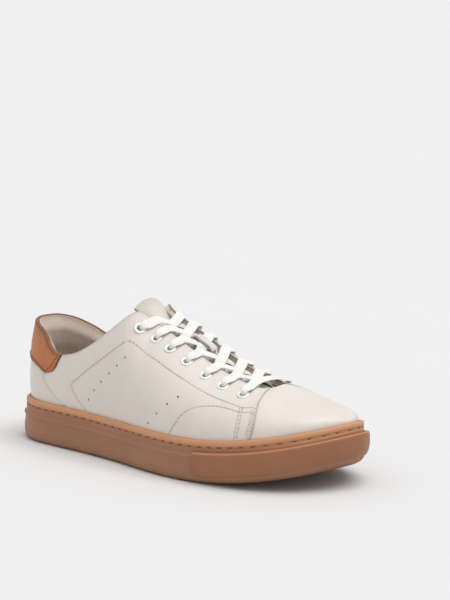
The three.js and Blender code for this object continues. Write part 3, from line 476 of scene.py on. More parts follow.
class Nodes:
    """Small helper that builds one material's node tree."""

    def __init__(self, name, roughness, **settings):
        self.material = bpy.data.materials.new(name)
        self.material.use_nodes = True
        self.tree = self.material.node_tree
        self.shader = self.tree.nodes["Principled BSDF"]
        self.shader.inputs["Roughness"].default_value = roughness
        for key, value in settings.items():
            self.shader.inputs[key.replace("_", " ")].default_value = value
        self.coords = self.add("ShaderNodeTexCoord")
        self.place = self.coords.outputs["Object"]
        self.height = None

    def add(self, kind, **values):
        node = self.tree.nodes.new(kind)
        for key, value in values.items():
            if hasattr(node, key):
                setattr(node, key, value)
            else:
                node.inputs[key.replace("_", " ")].default_value = value
        return node

    def link(self, a, b):
        self.tree.links.new(a, b)

    def noise(self, size, detail=3):
        node = self.add("ShaderNodeTexNoise", Scale=1 / (size * MM), Detail=detail)
        self.link(self.place, node.inputs["Vector"])
        return node.outputs["Fac"]

    def cells(self, size, feature="F1"):
        node = self.add("ShaderNodeTexVoronoi", feature=feature, Scale=1 / (size * MM))
        self.link(self.place, node.inputs["Vector"])
        return node.outputs["Distance"]

    def math(self, operation, a, b=None):
        node = self.add("ShaderNodeMath", operation=operation)
        for socket, value in zip(node.inputs, (a, b)):
            if value is None:
                continue
            if isinstance(value, (int, float)):
                socket.default_value = value
            else:
                self.link(value, socket)
        return node.outputs[0]

    def attribute(self, name):
        return self.add("ShaderNodeAttribute", attribute_name=name).outputs["Fac"]

    def ramp(self, factor, low, high):
        node = self.add("ShaderNodeMapRange", interpolation_type="SMOOTHSTEP")
        node.inputs["From Min"].default_value = low
        node.inputs["From Max"].default_value = high
        self.link(factor, node.inputs["Value"])
        return node.outputs["Result"]

    def blend(self, factor, a, b):
        node = self.add("ShaderNodeMix", data_type="RGBA")
        self.link(factor, node.inputs["Factor"])
        for socket, value in ((node.inputs["A"], a), (node.inputs["B"], b)):
            for s in [s for s in node.inputs if s.name == socket.name and s.type == "RGBA"]:
                if isinstance(value, tuple):
                    s.default_value = value
                else:
                    self.link(value, s)
        return next(s for s in node.outputs if s.type == "RGBA")

    def colour(self, socket):
        self.link(socket, self.shader.inputs["Base Color"])

    def roughness(self, socket):
        self.link(socket, self.shader.inputs["Roughness"])

    def bump(self, height, distance, strength=1.0):
        """Adds relief. Distance is its depth in millimetres."""
        node = self.add("ShaderNodeBump", Strength=strength, Distance=distance * MM)
        self.link(height, node.inputs["Height"])
        if self.height is not None:
            self.link(self.height, node.inputs["Normal"])
        self.height = node.outputs["Normal"]
        self.link(self.height, self.shader.inputs["Normal"])


def leather(name, base, shade, edge, grain=0.9, depth=0.06, roughness=0.46, sheen=0.15):
    n = Nodes(name, roughness, Sheen_Weight=sheen, Sheen_Roughness=0.5, Specular_IOR_Level=0.42)
    mottled = n.blend(n.ramp(n.noise(26, 3), 0.2, 0.8), srgb(*base), srgb(*shade))
    pores = n.ramp(n.cells(grain * 0.8), 0.0, 0.32)
    toned = n.blend(pores, srgb(*shade), mottled)
    # Towards the cut edges the colour goes to the edge colour: partly the leather's own cut-edge colour,
    # partly painted shade where one panel steps over the next.
    n.colour(n.blend(n.attribute("cut_edge_and_shade"), toned, srgb(*edge)))
    n.roughness(n.math("ADD", n.math("MULTIPLY", n.noise(9, 3), 0.18), roughness - 0.09))
    n.bump(n.cells(grain, "SMOOTH_F1"), depth)
    n.bump(n.noise(0.35, 2), depth * 0.3)
    n.bump(n.noise(7, 3), 0.12)
    return n.material


def gum(name, low, high, lip):
    """Moulded rubber: 'lift' is 1 on the lip band; a second attribute blends in dark brown as painted shade
    in the stitched groove and along the foot of the wall.
    """
    n = Nodes(name, 0.5, Specular_IOR_Level=0.4)
    body = n.blend(n.ramp(n.noise(30, 4), 0.35, 0.7), srgb(*low), srgb(*high))
    banded = n.blend(n.attribute("lift"), body, srgb(*lip))
    # Painted shade: dark brown blended in where the shade attribute is set.
    n.colour(n.blend(n.attribute("painted_shade"), banded, srgb(72, 46, 32)))
    n.roughness(n.math("ADD", n.math("MULTIPLY", n.noise(5, 3), 0.2), 0.42))
    n.bump(n.noise(0.6, 3), 0.05)
    n.bump(n.noise(14, 2), 0.1)
    return n.material


def textile(name, base, shade, pitch=0.9, depth=0.15, roughness=0.9, fuzz=0.35):
    """A fine mesh knit: cells the size of the yarn loops over a soft nap."""
    n = Nodes(name, roughness, Sheen_Weight=fuzz, Sheen_Roughness=0.6, Specular_IOR_Level=0.2)
    loops = n.ramp(n.cells(pitch), 0.05, 0.5)
    tinted = n.blend(n.ramp(n.noise(18, 3), 0.3, 0.7), srgb(*base), srgb(*shade))
    knit = n.blend(loops, tinted, srgb(*[c * 0.93 for c in base]))
    n.colour(n.blend(n.attribute("trim"), knit, srgb(216, 207, 198)))
    n.bump(n.cells(pitch), depth)
    n.bump(n.noise(0.4, 2), depth * 0.5)
    return n.material


def woven(name, base, shade, across=0.62, along=0.8, depth=0.16):
    """Flat woven cord: slanting rows of yarn along the lace, from its own lengthwise coordinates."""
    n = Nodes(name, 0.85, Sheen_Weight=0.3, Sheen_Roughness=0.5, Specular_IOR_Level=0.25)
    parts = n.add("ShaderNodeSeparateXYZ")
    n.link(n.coords.outputs["UV"], parts.inputs[0])
    u = n.math("MULTIPLY", parts.outputs["X"], 2 * np.pi / (across * MM))
    w = n.math("MULTIPLY", parts.outputs["Y"], 2 * np.pi / (along * MM))
    chevron = n.math("SINE", n.math("ADD", w, n.math("MULTIPLY", n.math("ABSOLUTE", u), 0.5)))
    yarn = n.math("MULTIPLY", n.math("SINE", u), 0.5)
    weave = n.math("ADD", n.math("MULTIPLY", chevron, 0.5), yarn)
    n.colour(n.blend(n.ramp(weave, -0.9, 0.3), srgb(*shade), srgb(*base)))
    n.bump(weave, depth)
    n.bump(n.noise(0.5, 2), 0.08)
    return n.material


def plain(name, base, shade, roughness, size=6.0, depth=0.04, **settings):
    n = Nodes(name, roughness, **settings)
    n.colour(n.blend(n.ramp(n.noise(size, 3), 0.3, 0.7), srgb(*base), srgb(*shade)))
    n.roughness(n.math("ADD", n.math("MULTIPLY", n.noise(size / 3, 3), 0.16), roughness - 0.08))
    n.bump(n.noise(size / 8, 3), depth)
    return n.material


# The white leather's edge colour is partly its cut-edge colour and partly painted shade along the seam
# steps.
WHITE = leather("white leather", (223, 215, 207), (218, 209, 201), (150, 135, 121))
TONGUE_WHITE = leather("tongue leather", (221, 213, 205), (215, 207, 199), (190, 178, 166), grain=1.1)
TAN = leather("tan leather", (196, 119, 64), (180, 103, 53), (104, 62, 36), grain=0.8, depth=0.05,
              roughness=0.6)
BINDING = leather("tan binding", (140, 90, 62), (128, 80, 54), (118, 72, 48), grain=0.6, roughness=0.6)
GUM = gum("gum rubber", (154, 108, 80), (160, 113, 85), (198, 143, 104))
GUM_BUMPER = gum("gum bumper rubber", (147, 97, 67), (155, 105, 73), (180, 124, 90))
GUM_THREAD = plain("gum thread", (196, 146, 112), (186, 136, 103), 0.8, size=2.0, depth=0.1)
# Painted shade in the needle slots of the sidewall stitching.
SLOT_SHADE = plain("sidewall slot shade", (140, 88, 60), (128, 78, 52), 0.9, size=2.0)
SEAM_DARK = plain("seam shadow", (188, 177, 167), (178, 167, 158), 0.95, size=2.0)
THREAD = plain("white thread", (212, 203, 194), (200, 190, 181), 0.75, size=1.2, depth=0.1, Sheen_Weight=0.2)
TAB_THREAD = plain("brown thread", (112, 70, 44), (98, 60, 38), 0.8, size=1.2, depth=0.1)
HOLE = plain("hole shadow", (58, 50, 45), (48, 42, 38), 0.95, size=2.0)
LINING = textile("lining knit", (209, 193, 179), (202, 186, 172))
SOCK = textile("sockliner fabric", (214, 200, 188), (204, 190, 178), pitch=1.2)
LACE = woven("lace weave", (247, 246, 241), (230, 227, 220), depth=0.09)
ENAMEL = plain("white enamel", (238, 238, 236), (230, 230, 228), 0.3, depth=0.01, Coat_Weight=0.4,
               Metallic=0.1)
AGLET = plain("clear white plastic", (240, 238, 232), (232, 229, 222), 0.25, depth=0.01, Coat_Weight=0.3)
FOAM = plain("foam", (236, 228, 200), (226, 216, 186), 0.95, size=1.5, depth=0.15)
BOARD = plain("fibre board", (186, 168, 140), (172, 154, 126), 0.9, size=1.5, depth=0.1)


# ---------------------------------------------------------------- the sole unit
def wall_inset(rib):
    return upper_inset(rib) - GAP


CUP_FLOOR = 5.0
TOE_UNDER = 5.0                 # the toe is rounded under by this much at the ground
TOE_BAND = 0.8                  # the band above the ledge stands this much further back at the toe


def sole_row(inset, height):
    """A row of the sole: rounded under at the toe, with the band above the ledge set back there."""
    def inset_at(rib):
        under = TOE_UNDER * between(rib, 11, LAST_STATION) * max(0, 1 - height / 13) ** 2
        above = TOE_BAND * between(rib, 11.5, LAST_STATION) * (height > LEDGE_HEIGHT + 0.5)
        return inset + under + above
    return inset_at


GROOVE = 24.5                   # middle of the stitched groove, above the ground
GROOVE_HALF = 0.9
GROOVE_DEPTH = 0.45
WALL_TOP = LEDGE_HEIGHT - 1.0

side_profile = fillet([
    (12, 0), (3.4, 0), (1.1, 1.2), (0.1, 4.2), (0, 8), (0.5, 12), (0.9, 14.8), (0.6, 16.6), (0, WALL_TOP),
    (0.1, LEDGE_HEIGHT), (0.9, LEDGE_HEIGHT + 0.3), (BAND_INSET, LEDGE_HEIGHT + 1.2),
    (BAND_INSET - 0.1, GROOVE - GROOVE_HALF * 2), (BAND_INSET, GROOVE - GROOVE_HALF),
    (BAND_INSET + GROOVE_DEPTH, GROOVE - GROOVE_HALF * 0.5),
    (BAND_INSET + GROOVE_DEPTH, GROOVE + GROOVE_HALF * 0.5),
    (BAND_INSET, GROOVE + GROOVE_HALF), (BAND_INSET - 0.15, GROOVE + GROOVE_HALF * 2.4),
    (BAND_INSET, SOLE_HEIGHT - 1.8), (BAND_INSET + 0.4, SOLE_HEIGHT - 0.7), (BAND_INSET + 1.5, SOLE_HEIGHT),
    (4.4, SOLE_HEIGHT),
], 0.9)
spines = [1, 0.8, 0.6, 0.4, 0.2]
rows = [(sole_row(12, 0), 0, s) for s in spines]
rows += [(sole_row(inset, height), height, 0) for inset, height in side_profile]
rows += [(wall_inset, SOLE_HEIGHT - 0.3, 0), (wall_inset, CUP_FLOOR, 0)]
rows += [(wall_inset, CUP_FLOOR, s) for s in reversed(spines)]
heights = np.array([row[1] for row in rows])
# Painted shade on the gum wall: a little in the stitched groove, and more towards the ground.
groove_shade = np.array([abs(h - GROOVE) < GROOVE_HALF * 0.8 for h in heights]) * 0.18
lift = between(heights, GROOVE, GROOVE + 0.6)
toe = between(ring_rib(np.arange(RING * 12) / 12)[1], 9.5, 12.5)
lift = np.maximum(lift, 0.85 * toe[:, None] * (heights > LEDGE_HEIGHT + 0.6))
under = 0.35 * (1 - between(heights, 0.5, 3.5))
sole = outline_body("sole_wall", rows, GUM, {"lift": lift, "painted_shade": np.maximum(groove_shade, under)}, sharp=50)
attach(sole, "shoe")
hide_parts("cupsole")

BUMPER_FROM = 8.55
BUMPER_TO = RING - 9.2
BUMPER_PROUD = 1.8
BUMPER_CORNER = 3.2             # rounding of the band's two ends


def follow(from_q, to_q, step):
    """Ring positions that are evenly spaced along the outline."""
    q = np.linspace(from_q, to_q, 1500)
    points = outline_point(*ring_rib(q), 0, 10)
    run = distance_along(points)
    return np.interp(np.linspace(0, run[-1], max(3, round(run[-1] / step))), run, q), run[-1]


def bumper():
    q, length = follow(BUMPER_FROM, BUMPER_TO, 1.2)
    s = np.linspace(0, length, len(q))
    fine = np.array([0.15, 0.4, 0.8, 1.4, 2.2, BUMPER_CORNER])
    s = np.unique(np.concatenate([s, fine, length - fine]))
    q = np.interp(s, np.linspace(0, length, len(q)), q)
    away = np.minimum(s, length - s)
    drop = rounded(away, BUMPER_CORNER)
    thin = rounded(away, 1.0)
    profile = fillet([
        (1.4, 19.6), (-0.3, 19.2), (-0.3, 12), (-0.3, 4.6), (-0.9, 5.0), (-1.4, 7), (-BUMPER_PROUD, 10),
        (-BUMPER_PROUD - 0.1, 14), (-BUMPER_PROUD, 18), (-1.4, 20.2), (-0.4, 21), (1.4, 21.2), (1.4, 19.6),
    ], 0.9)
    side, rib = ring_rib(q)
    rows = []
    for inset, height in profile:
        level = 13 + (height - 13) * (8 - drop) / 8
        proud = inset + (thin if inset < -0.4 else 0)
        rows.append(outline_point(side, rib, sole_row(proud, min(height, LEDGE_HEIGHT))(rib), level))
    grid = np.stack(rows, 1)
    count, size = grid.shape[:2]
    ids = np.arange(count * size).reshape(count, size)
    faces = grid_faces(closed(ids))
    faces += [list(range(size))[::-1], list(range((count - 1) * size, count * size))]
    tops = np.array([between(h, 19.4, 20.6) for _, h in profile])
    tone = {"lift": np.tile(tops, count), "painted_shade": np.zeros(count * size)}
    piece = make_object("bumper_rubber", grid.reshape(-1, 3), faces, GUM_BUMPER, tone, sharp=50)
    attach(piece, "shoe")
    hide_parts("toe_bumper")


bumper()


def bean(length, width, height, rings=5, sides=8):
    """Points and faces of a small rounded stitch, lying along its first axis."""
    t = np.linspace(-1, 1, rings + 2)[1:-1]
    bulge = np.sqrt(1 - t**4)
    angle = round_circle(sides)
    ring = np.stack([np.zeros(sides), np.cos(angle) * width / 2, np.sin(angle) * height / 2], -1)
    body = ring[None] * bulge[:, None, None]
    body[..., 0] += (t * length / 2)[:, None]
    points = np.concatenate([[[-length / 2, 0, 0]], body.reshape(-1, 3), [[length / 2, 0, 0]]])
    ids = np.arange(rings * sides).reshape(rings, sides) + 1
    faces = grid_faces(closed(ids))
    last = rings * sides + 1
    faces += [[0, ids[0, k], ids[0, (k + 1) % sides]] for k in range(sides)]
    faces += [[last, ids[-1, (k + 1) % sides], ids[-1, k]] for k in range(sides)]
    return points, faces


def scatter(name, template, centres, alongs, ups, material):
    """Copies of a small shape, each lying along its own direction."""
    points, faces = template
    alongs, ups = unit(alongs), unit(ups)
    across = unit(np.cross(ups, alongs))
    ups = np.cross(alongs, across)
    where = (centres[:, None] + alongs[:, None] * points[None, :, :1]
             + across[:, None] * points[None, :, 1:2] + ups[:, None] * points[None, :, 2:])
    count = len(points)
    all_faces = [[k + i * count for k in f] for i in range(len(centres)) for f in faces]
    return make_object(name, where.reshape(-1, 3), all_faces, material, sharp=80)


def sole_stitches():
    """The sidewall stitching: thread showing between needle slots coloured darker as painted shade, wider
    apart round the toe.
    """
    q, length = follow(0, RING, 0.5)
    run = np.linspace(0, length, len(q))
    centres, holes = [], []
    reached = 0.0
    while reached < length - 3:
        here = float(np.interp(reached, run, q))
        rib = float(ring_rib(here)[1])
        pitch = mix(8.4, 10.4, float(between(rib, 9.5, 11.5)))
        holes.append(here)
        centres.append(float(np.interp(reached + pitch / 2, run, q)))
        reached += pitch

    def place(positions, inset):
        positions = np.array(positions)

        def at(where, depth):
            side, rib = ring_rib(where)
            return outline_point(side, rib, sole_row(depth, GROOVE)(rib), GROOVE)

        here = at(positions, inset)
        along = at(positions + 0.03, inset) - at(positions - 0.03, inset)
        return here, along, here - at(positions, inset + 1)

    thread = scatter("sidewall_stitches", bean(5.4, 0.8, 0.6), *place(centres, BAND_INSET + 0.35),
                     GUM_THREAD)
    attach(thread, "shoe")
    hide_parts("sidewall_thread")
    # Needle slots: darker brown marks between the threads, painted shade in the stitch dimples.
    slots = scatter("sidewall_needle_slot_shade", bean(2.7, 0.9, 0.8), *place(holes, BAND_INSET + 0.45), SLOT_SHADE)
    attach(slots, "shoe")


sole_stitches()

# ---------------------------------------------------------------- panels of the upper
# Seams, as (v, ring position).
VAMP_SEAM = [
    (-1, 10.24), (0, 10.24), (0.1, 10.31), (0.23, 10.31), (0.38, 10.2), (0.57, 9.98), (0.8, 9.8),
    (1, 9.74),
]
HEEL_SEAM = [
    (-1, 4.3), (0, 4.3), (0.12, 4.0), (0.25, 3.66), (0.4, 3.35), (0.5, 3.4), (0.65, 3.62), (1, 3.98),
]
TAB_SIDE = [(0, 3.5), (0.05, 3.62), (0.22, 3.84), (0.58, 4.03), (1, 4.2)]
TAB_TIP = 3.5
TAB_TIP_V = 0.465
TAB_FRONT = 4.2
TAB_BACK_V = 0.53
TUCKED = 0.35                   # how far one panel runs under the next, as a ring position
FOOT_V = -0.35                  # the panels run down into the cup this far
OUTER = -0.3                    # the quarters stand this much proud of the driving surface
QUARTER_BACK = 1.15


def level_curve(keys):
    curve = keyed_curve(keys)
    return lambda v: curve(v)[..., 0]


vamp_seam = level_curve(VAMP_SEAM)
heel_seam = level_curve(HEEL_SEAM)
tab_side = level_curve(TAB_SIDE)


def on_side(q, side):
    return q if side == LATERAL else RING - q


def grid_on_side(q, v, side):
    """A grid of places on the outer side, or its mirror image on the inner side."""
    return (q, v) if side == LATERAL else ((RING - q)[::-1], v[::-1])


# Stitch lines on the outer quarter, as (ring position, v) that the line passes through.
SLANT = [(6.12, 0.745), (5.76, 0.74), (5.34, 0.7), (4.88, 0.61), (4.44, 0.43)]
RETURN = [(4.44, 0.43), (4.58, 0.24), (4.78, 0.1), (4.98, 0.0)]
EYESTAY = [
    (6.12, 0.745), (6.51, 0.66), (7.03, 0.63), (7.47, 0.615), (7.97, 0.61), (8.54, 0.59), (9.14, 0.57),
    (9.6, 0.53), (10.05, 0.43),
]
ARC = [
    (7.7, 0.01), (7.8, 0.06), (7.95, 0.14), (8.15, 0.26), (8.38, 0.35), (8.7, 0.43), (9.04, 0.475),
    (9.44, 0.465), (9.78, 0.41), (10.12, 0.34),
]
DOUBLE = [(9.6, 0.56), (9.72, 0.4), (9.8, 0.27), (9.83, 0.16), (9.8, 0.03)]
FRONT_VS = np.linspace(0.02, 0.42, 8)
HOLES_BACK = [(6.13, 0.58), (5.9, 0.54), (5.66, 0.49), (5.4, 0.41), (5.18, 0.31), (5.0, 0.18)]
HOLES_FRONT = [(7.89, 0.4), (7.61, 0.28), (7.27, 0.16), (6.97, 0.06)]


def parallel(places, offset):
    """A line beside another, an offset in millimetres to its left, as ring positions and v."""
    out = []
    for k, (q, v) in enumerate(places):
        a = np.array(places[max(k - 1, 0)], float)
        b = np.array(places[min(k + 1, len(places) - 1)], float)
        here = face(q, v)
        dq = (face(q + 0.02, v) - here) / 0.02
        dv = (face(q, v - 0.02) - here) / -0.02
        run = unit((b - a)[0] * dq + (b - a)[1] * dv)
        left = np.cross(normal(q, v), run)
        basis = np.stack([dq, dv], 1)
        step = np.linalg.lstsq(basis, left * offset, rcond=None)[0]
        out.append((q + step[0], v + step[1]))
    return out


def trace(places, step=0.25):
    """Dense places and points along a smooth line through (ring position, v) places."""
    places = np.array(places, float)
    run = distance_along(face(*places.T))
    curve = keyed_curve(np.column_stack([run, places]))
    s = np.arange(0, run[-1], step)
    q, v = curve(s).T
    return q, v, face(q, v)


front_edge = [(float(vamp_seam(v)), float(v)) for v in FRONT_VS]
zigzag_line = parallel(front_edge, 2.6)
double_b = parallel(DOUBLE, -2.0)
TAB_SEWN = [(4.08, 0.97), (3.95, 0.86), (3.71, 0.66), (3.53, 0.55), (3.4, 0.52), (2.6, 0.535), (1.3, 0.56)]
tab_stitch = [*TAB_SEWN, (0, 0.57), *((-q, v) for q, v in TAB_SEWN[::-1])]
SEWN = [SLANT, RETURN, EYESTAY, ARC, DOUBLE, double_b]
sewn_points = np.concatenate([trace(line, 0.8)[2] for line in SEWN])
sewn_medial = np.concatenate([trace([(RING - q, v) for q, v in line], 0.8)[2] for line in SEWN])
PUCKER = 0.08                   # how far the thread pulls the leather down
PUCKER_WIDTH = 1.3


def near_line(points, line):
    flat = points.reshape(-1, 3)
    best = np.full(len(flat), 1e3)
    for start in range(0, len(line), 64):
        gap = np.linalg.norm(flat[:, None] - line[None, start:start + 64], axis=-1).min(1)
        best = np.minimum(best, gap)
    return best.reshape(points.shape[:-1])


def waves(points, size, seed=0.0):
    """Smooth, repeatable unevenness between about -1 and 1, with lumps about this many mm across."""
    x, y, z = np.moveaxis(points / size, -1, 0)
    return (np.sin(2.1 * x + 1.3 * z + seed) * np.cos(1.7 * y - 0.8 * z + 2 * seed)
            + 0.5 * np.sin(4.3 * x - 2.9 * y + 3 * seed) * np.sin(3.1 * z + 1.9 * x + seed)) / 1.5


def pulled_down(line):
    def relief(q, v, points):
        d = near_line(points, line)
        return PUCKER * np.exp(-(d / PUCKER_WIDTH) ** 2) + 0.12 * waves(points, 12.0)
    return relief


def loose(q, v, points):
    return 0.15 * waves(points, 14.0, 1.0)


def panel_grid(start, end, low, high, length, height, step):
    """Grid of places: ends slant as functions of v."""
    t = spread(height, step)
    v = mix(low, high, t)[None, :]
    s = spread(length, step)[:, None]
    return start(v) + (end(v) - start(v)) * s, np.broadcast_to(v, (s.shape[0], t.shape[0]))


# Eyelets: a row on each side, along the edge of the throat.
EYELET_RIBS = [6.42, 6.87, 7.3, 7.78, 8.3, 8.8, 9.38]
EYELET_OFFSET = 13
THROAT_TOP = 6.75


def eyelet_place(side, rib):
    levels = np.arange(1, 0.3, -0.002)
    column = upper_face(side, rib, levels)
    far = np.linalg.norm(column - column[0], axis=-1)
    v = float(levels[np.argmax(far >= EYELET_OFFSET)])
    q = on_side(rib, side)
    centre, up = upper_face(side, rib, v), normal(q, v)
    ribs = np.arange(max(rib, THROAT_TOP), rib + 0.6, 0.01)
    rim = upper_face(side, ribs, 1.0)
    nearest = int(np.argmin(np.linalg.norm(rim - centre, axis=-1)))
    inward = rim[nearest] - centre
    inward = unit(inward - up * inward.dot(up))
    return {"centre": centre, "normal": up, "inward": inward, "throat_rib": ribs[nearest],
            "edge": rim[nearest]}


eyelets = {side: [eyelet_place(side, rib) for rib in EYELET_RIBS] for side in (LATERAL, MEDIAL)}
FLANGE_BOTTOM = 5.0
EYELET_HOLE = 2.9               # radius of the eyelet's hole in leather and lining


def vamp_piece():
    def start(v):
        return vamp_seam(v) - TUCKED

    def end(v):
        return RING - vamp_seam(v) + TUCKED

    q, v = panel_grid(start, end, FOOT_V, 1.0, 270, 75, 1.25)
    q = (q + RING - q[::-1]) / 2
    rib = ring_rib(q)[1]
    under = 1 - between(rib - vamp_seam(v), -0.12, 0.02)
    outer = mix(0.1, 1.3, under)
    away = np.where(rib < RIDGE_FROM, edge_distance(face(q, v), (True, True, False, True)),
                    edge_distance(face(q, v), (True, True, False, False)))
    top = outer + rounded(away, 0.6) + loose(q, v, face(q, v))
    points, faces, first = closed_shell(below(q, v, top), below(q, v, top + 1.1))
    # Edge colour mask: the cut edge, and painted shade along the seam steps.
    cut_edge_and_shade = np.exp(-away.ravel()[first] / 0.8)
    piece = make_object("vamp_leather", points, faces, WHITE, {"cut_edge_and_shade": doubled(cut_edge_and_shade)})
    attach(piece, "shoe")
    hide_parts("vamp")


PERFORATION = 0.85              # radius of the small holes


def quarter_piece(side, name, node):
    q, v = panel_grid(heel_seam, vamp_seam, FOOT_V, 1.0, 150, 70, 1.1)
    q, v = grid_on_side(q, v, side)
    piece = leather_shell(name, q, v, OUTER, QUARTER_BACK, WHITE, 0.6, (True, True, False, True),
                          pulled_down(sewn_points if side == LATERAL else sewn_medial))
    cut_holes(piece, [(e["centre"], e["normal"]) for e in eyelets[side]], EYELET_HOLE)
    dots = [(on_side(q, side), v) for q, v in HOLES_BACK + HOLES_FRONT]
    cut_holes(piece, [(face(q, v), normal(q, v)) for q, v in dots], PERFORATION, depth=5, steps=14)
    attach(piece, "shoe")
    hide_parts(node)
    places = np.array(dots)
    dot_q, dot_v = places[:, 0], places[:, 1]
    ahead = face(dot_q + 0.02, dot_v) - face(dot_q, dot_v)
    # Dark discs under the perforations: painted shade inside the small holes.
    backing = scatter(name.replace("leather", "perforation_shade"), bean(3.2, 3.2, 0.3),
                      below(dot_q, dot_v, np.full(len(dots), 1.4)), ahead, normal(dot_q, dot_v), HOLE)
    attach(backing, "shoe")


def heel_piece():
    def start(v):
        return -(heel_seam(v) + TUCKED)

    def end(v):
        return heel_seam(v) + TUCKED

    q, v = panel_grid(start, end, FOOT_V, 0.985, 120, 55, 1.2)
    under = 1 - between(heel_seam(v) - np.abs(q), -0.1, 0.02)
    tab = between(v, TAB_BACK_V, TAB_BACK_V + 0.06)
    outer = mix(0.15, 1.25, np.maximum(under, tab * 0.6))
    piece = leather_shell("heel_panel_leather", q, v, outer, outer + 1.0, WHITE, 0.4,
                          (True, True, False, True), loose)
    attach(piece, "shoe")
    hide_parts("heel_panel")


def tab_level(v):
    """The face of the heel tab, as a depth: it is padded, and swells above its lower edge."""
    return -0.85 - 0.5 * between(v, 0.55, 0.75)


def tab_piece():
    s = spread(120, 1.1)[:, None] * 2 - 1
    t = spread(30, 1.0)[None, :]
    q_low = s * TAB_TIP
    corner = 0.035 * (1 - np.sqrt(1 - np.clip(np.abs(s), 0, 1) ** 16))
    low = mix(TAB_BACK_V, TAB_TIP_V, np.abs(q_low) / TAB_TIP) + corner
    q = s * tab_side(t + 0 * s)
    v = mix(low, 1.0, t)
    piece = leather_shell("heel_tab_leather", q, v, tab_level(v), 0.35, TAN, 0.9, (True,) * 4, loose, 1.8)
    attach(piece, "shoe")
    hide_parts("heel_tab")
    q = np.linspace(-TAB_FRONT, TAB_FRONT, 160)
    line = below(q, np.full_like(q, 0.995), np.full_like(q, 0.5))
    angle = round_circle(12)
    section = np.stack([np.cos(angle) * 1.5, np.sin(angle) * 0.95], -1)
    sections = np.broadcast_to(section, (len(q), 12, 2))
    roll = swept_tube("heel_tab_binding", line, np.broadcast_to([0.0, 0, 1], line.shape), sections, BINDING)
    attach(roll, "shoe")


vamp_piece()
quarter_piece(LATERAL, "lateral_quarter_leather", "lateral_quarter")
quarter_piece(MEDIAL, "medial_quarter_leather", "medial_quarter")
heel_piece()
tab_piece()


# ---------------------------------------------------------------- stitching on the leather
def thread_places(line, side, pitch, first, short):
    """Places an even pitch apart on a line, and its direction there. It ends this short of the end."""
    q, v, points = trace([(on_side(q, side), v) for q, v in line])
    run = distance_along(points)
    at = np.arange(first, run[-1] - short, pitch)
    flat = np.stack([np.interp(at, run, np.gradient(points[:, k], run)) for k in range(3)], -1)
    return np.interp(at, run, q), np.interp(at, run, v), flat


def stitch_places(line, pitch, depth, side=LATERAL):
    q, v, flat = thread_places(line, side, pitch, pitch / 2, pitch / 4)
    lows = below(q, v, depth(v) if callable(depth) else np.full_like(q, depth))
    return lows, flat, normal(q, v)


def sew(name, lines, pitch, depth, thread, shape, side=LATERAL, hole=None):
    parts = [stitch_places(line, pitch, depth, side) for line in lines]
    centres, alongs, ups = (np.concatenate(group) for group in zip(*parts))
    piece = scatter(name, shape, centres, alongs, ups, thread)
    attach(piece, "shoe")
    if hole is not None:
        # Needle holes: small discs in the seam-shadow colour at each stitch end, painted shade.
        ends = centres + unit(alongs) * pitch / 2 - unit(ups) * 0.02
        dots = scatter(name + "_needle_hole_shade", bean(1.1, 0.95, 0.5), ends, alongs, ups, hole)
        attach(dots, "shoe")


STITCH = bean(1.9, 0.8, 0.6)
for side, name in SIDES:
    sew(f"{name}_quarter_stitching", SEWN, 3.1, OUTER + PUCKER - 0.1, THREAD, STITCH, side, SEAM_DARK)
sew("heel_tab_stitching", [tab_stitch], 2.8, lambda v: tab_level(v) - 0.15, TAB_THREAD, bean(2.0, 0.8, 0.6))


ZIGZAG_PITCH = 2.3


def zigzag(side, name):
    """A slanting row of stitches close behind the front edge of a quarter."""
    q, v, flat = thread_places(zigzag_line, side, ZIGZAG_PITCH, 1.5, 1)
    ups = normal(q, v)
    alongs = unit(flat)
    across = np.cross(ups, alongs)
    lean = alongs * 0.75 + across
    low = below(q, v, np.full_like(q, OUTER - 0.1))
    piece = scatter(name, bean(2.8, 0.7, 0.6), low, lean, ups, THREAD)
    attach(piece, "shoe")
    # Needle holes at both ends of each slanting stitch: discs in the seam-shadow colour, painted shade.
    ends = np.concatenate([low + unit(lean) * 1.6, low - unit(lean) * 1.6])
    dots = scatter(f"{name}_needle_hole_shade", bean(1.0, 0.8, 0.5), ends, doubled(alongs), doubled(ups),
                   SEAM_DARK)
    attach(dots, "shoe")


zigzag(LATERAL, "lateral_front_zigzag")
zigzag(MEDIAL, "medial_front_zigzag")


# ---------------------------------------------------------------- linings and the inside
STIFFENER_TOP = 1.8
LINING_DEPTH = 3.2
COLLAR_PADDING = 4.2
LINING_THICKNESS = 1.0
LINING_FOOT_V = -0.75           # the linings run down past the edge of the sockliner
LINING_TOP_V = 0.997


def lining_depth(rib, v):
    around = 1 - between(rib, 5, 6)
    swell = between(v, 0.4, 0.68) * (1 - between(v, 0.84, 1))
    tuck = between(v, 0.84, 1) * (LINING_DEPTH - STIFFENER_TOP)
    return LINING_DEPTH + around * (COLLAR_PADDING * swell - tuck)


def lining_floor(rib, v):
    return lining_depth(rib, v) + LINING_THICKNESS


def lining_piece(name, q, v, node, throat=False, holes=()):
    """One lining panel. Along the throat it closes the edge of the eyestay up to the leather."""
    rib = ring_rib(q)[1]
    deep = lining_floor(rib, v)
    collar = 1 - between(rib, 5.6, 6.2)
    rim = between(v, 0.93, 1.0)
    closing = between(rib, 5.9, 6.3) if throat else 0 * rib
    outer = mix(lining_depth(rib, v), 1.3, np.maximum(rim, closing * between(v, 0.72, 0.8)))
    folds = 0.35 * waves(face(q, v), 9.0, 2.0) * between(v, 0.45, 0.6) * collar
    inner = np.maximum(deep + folds, outer + 0.5)
    points, faces, first = closed_shell(below(q, v, outer), below(q, v, inner))
    trim = (closing * between(v, 0.7, 0.76)).ravel()[first]
    piece = make_object(name, points, faces, LINING, {"trim": doubled(trim)}, sharp=60)
    if holes:
        cut_holes(piece, holes, EYELET_HOLE)
    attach(piece, "shoe")
    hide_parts(node)
    return piece


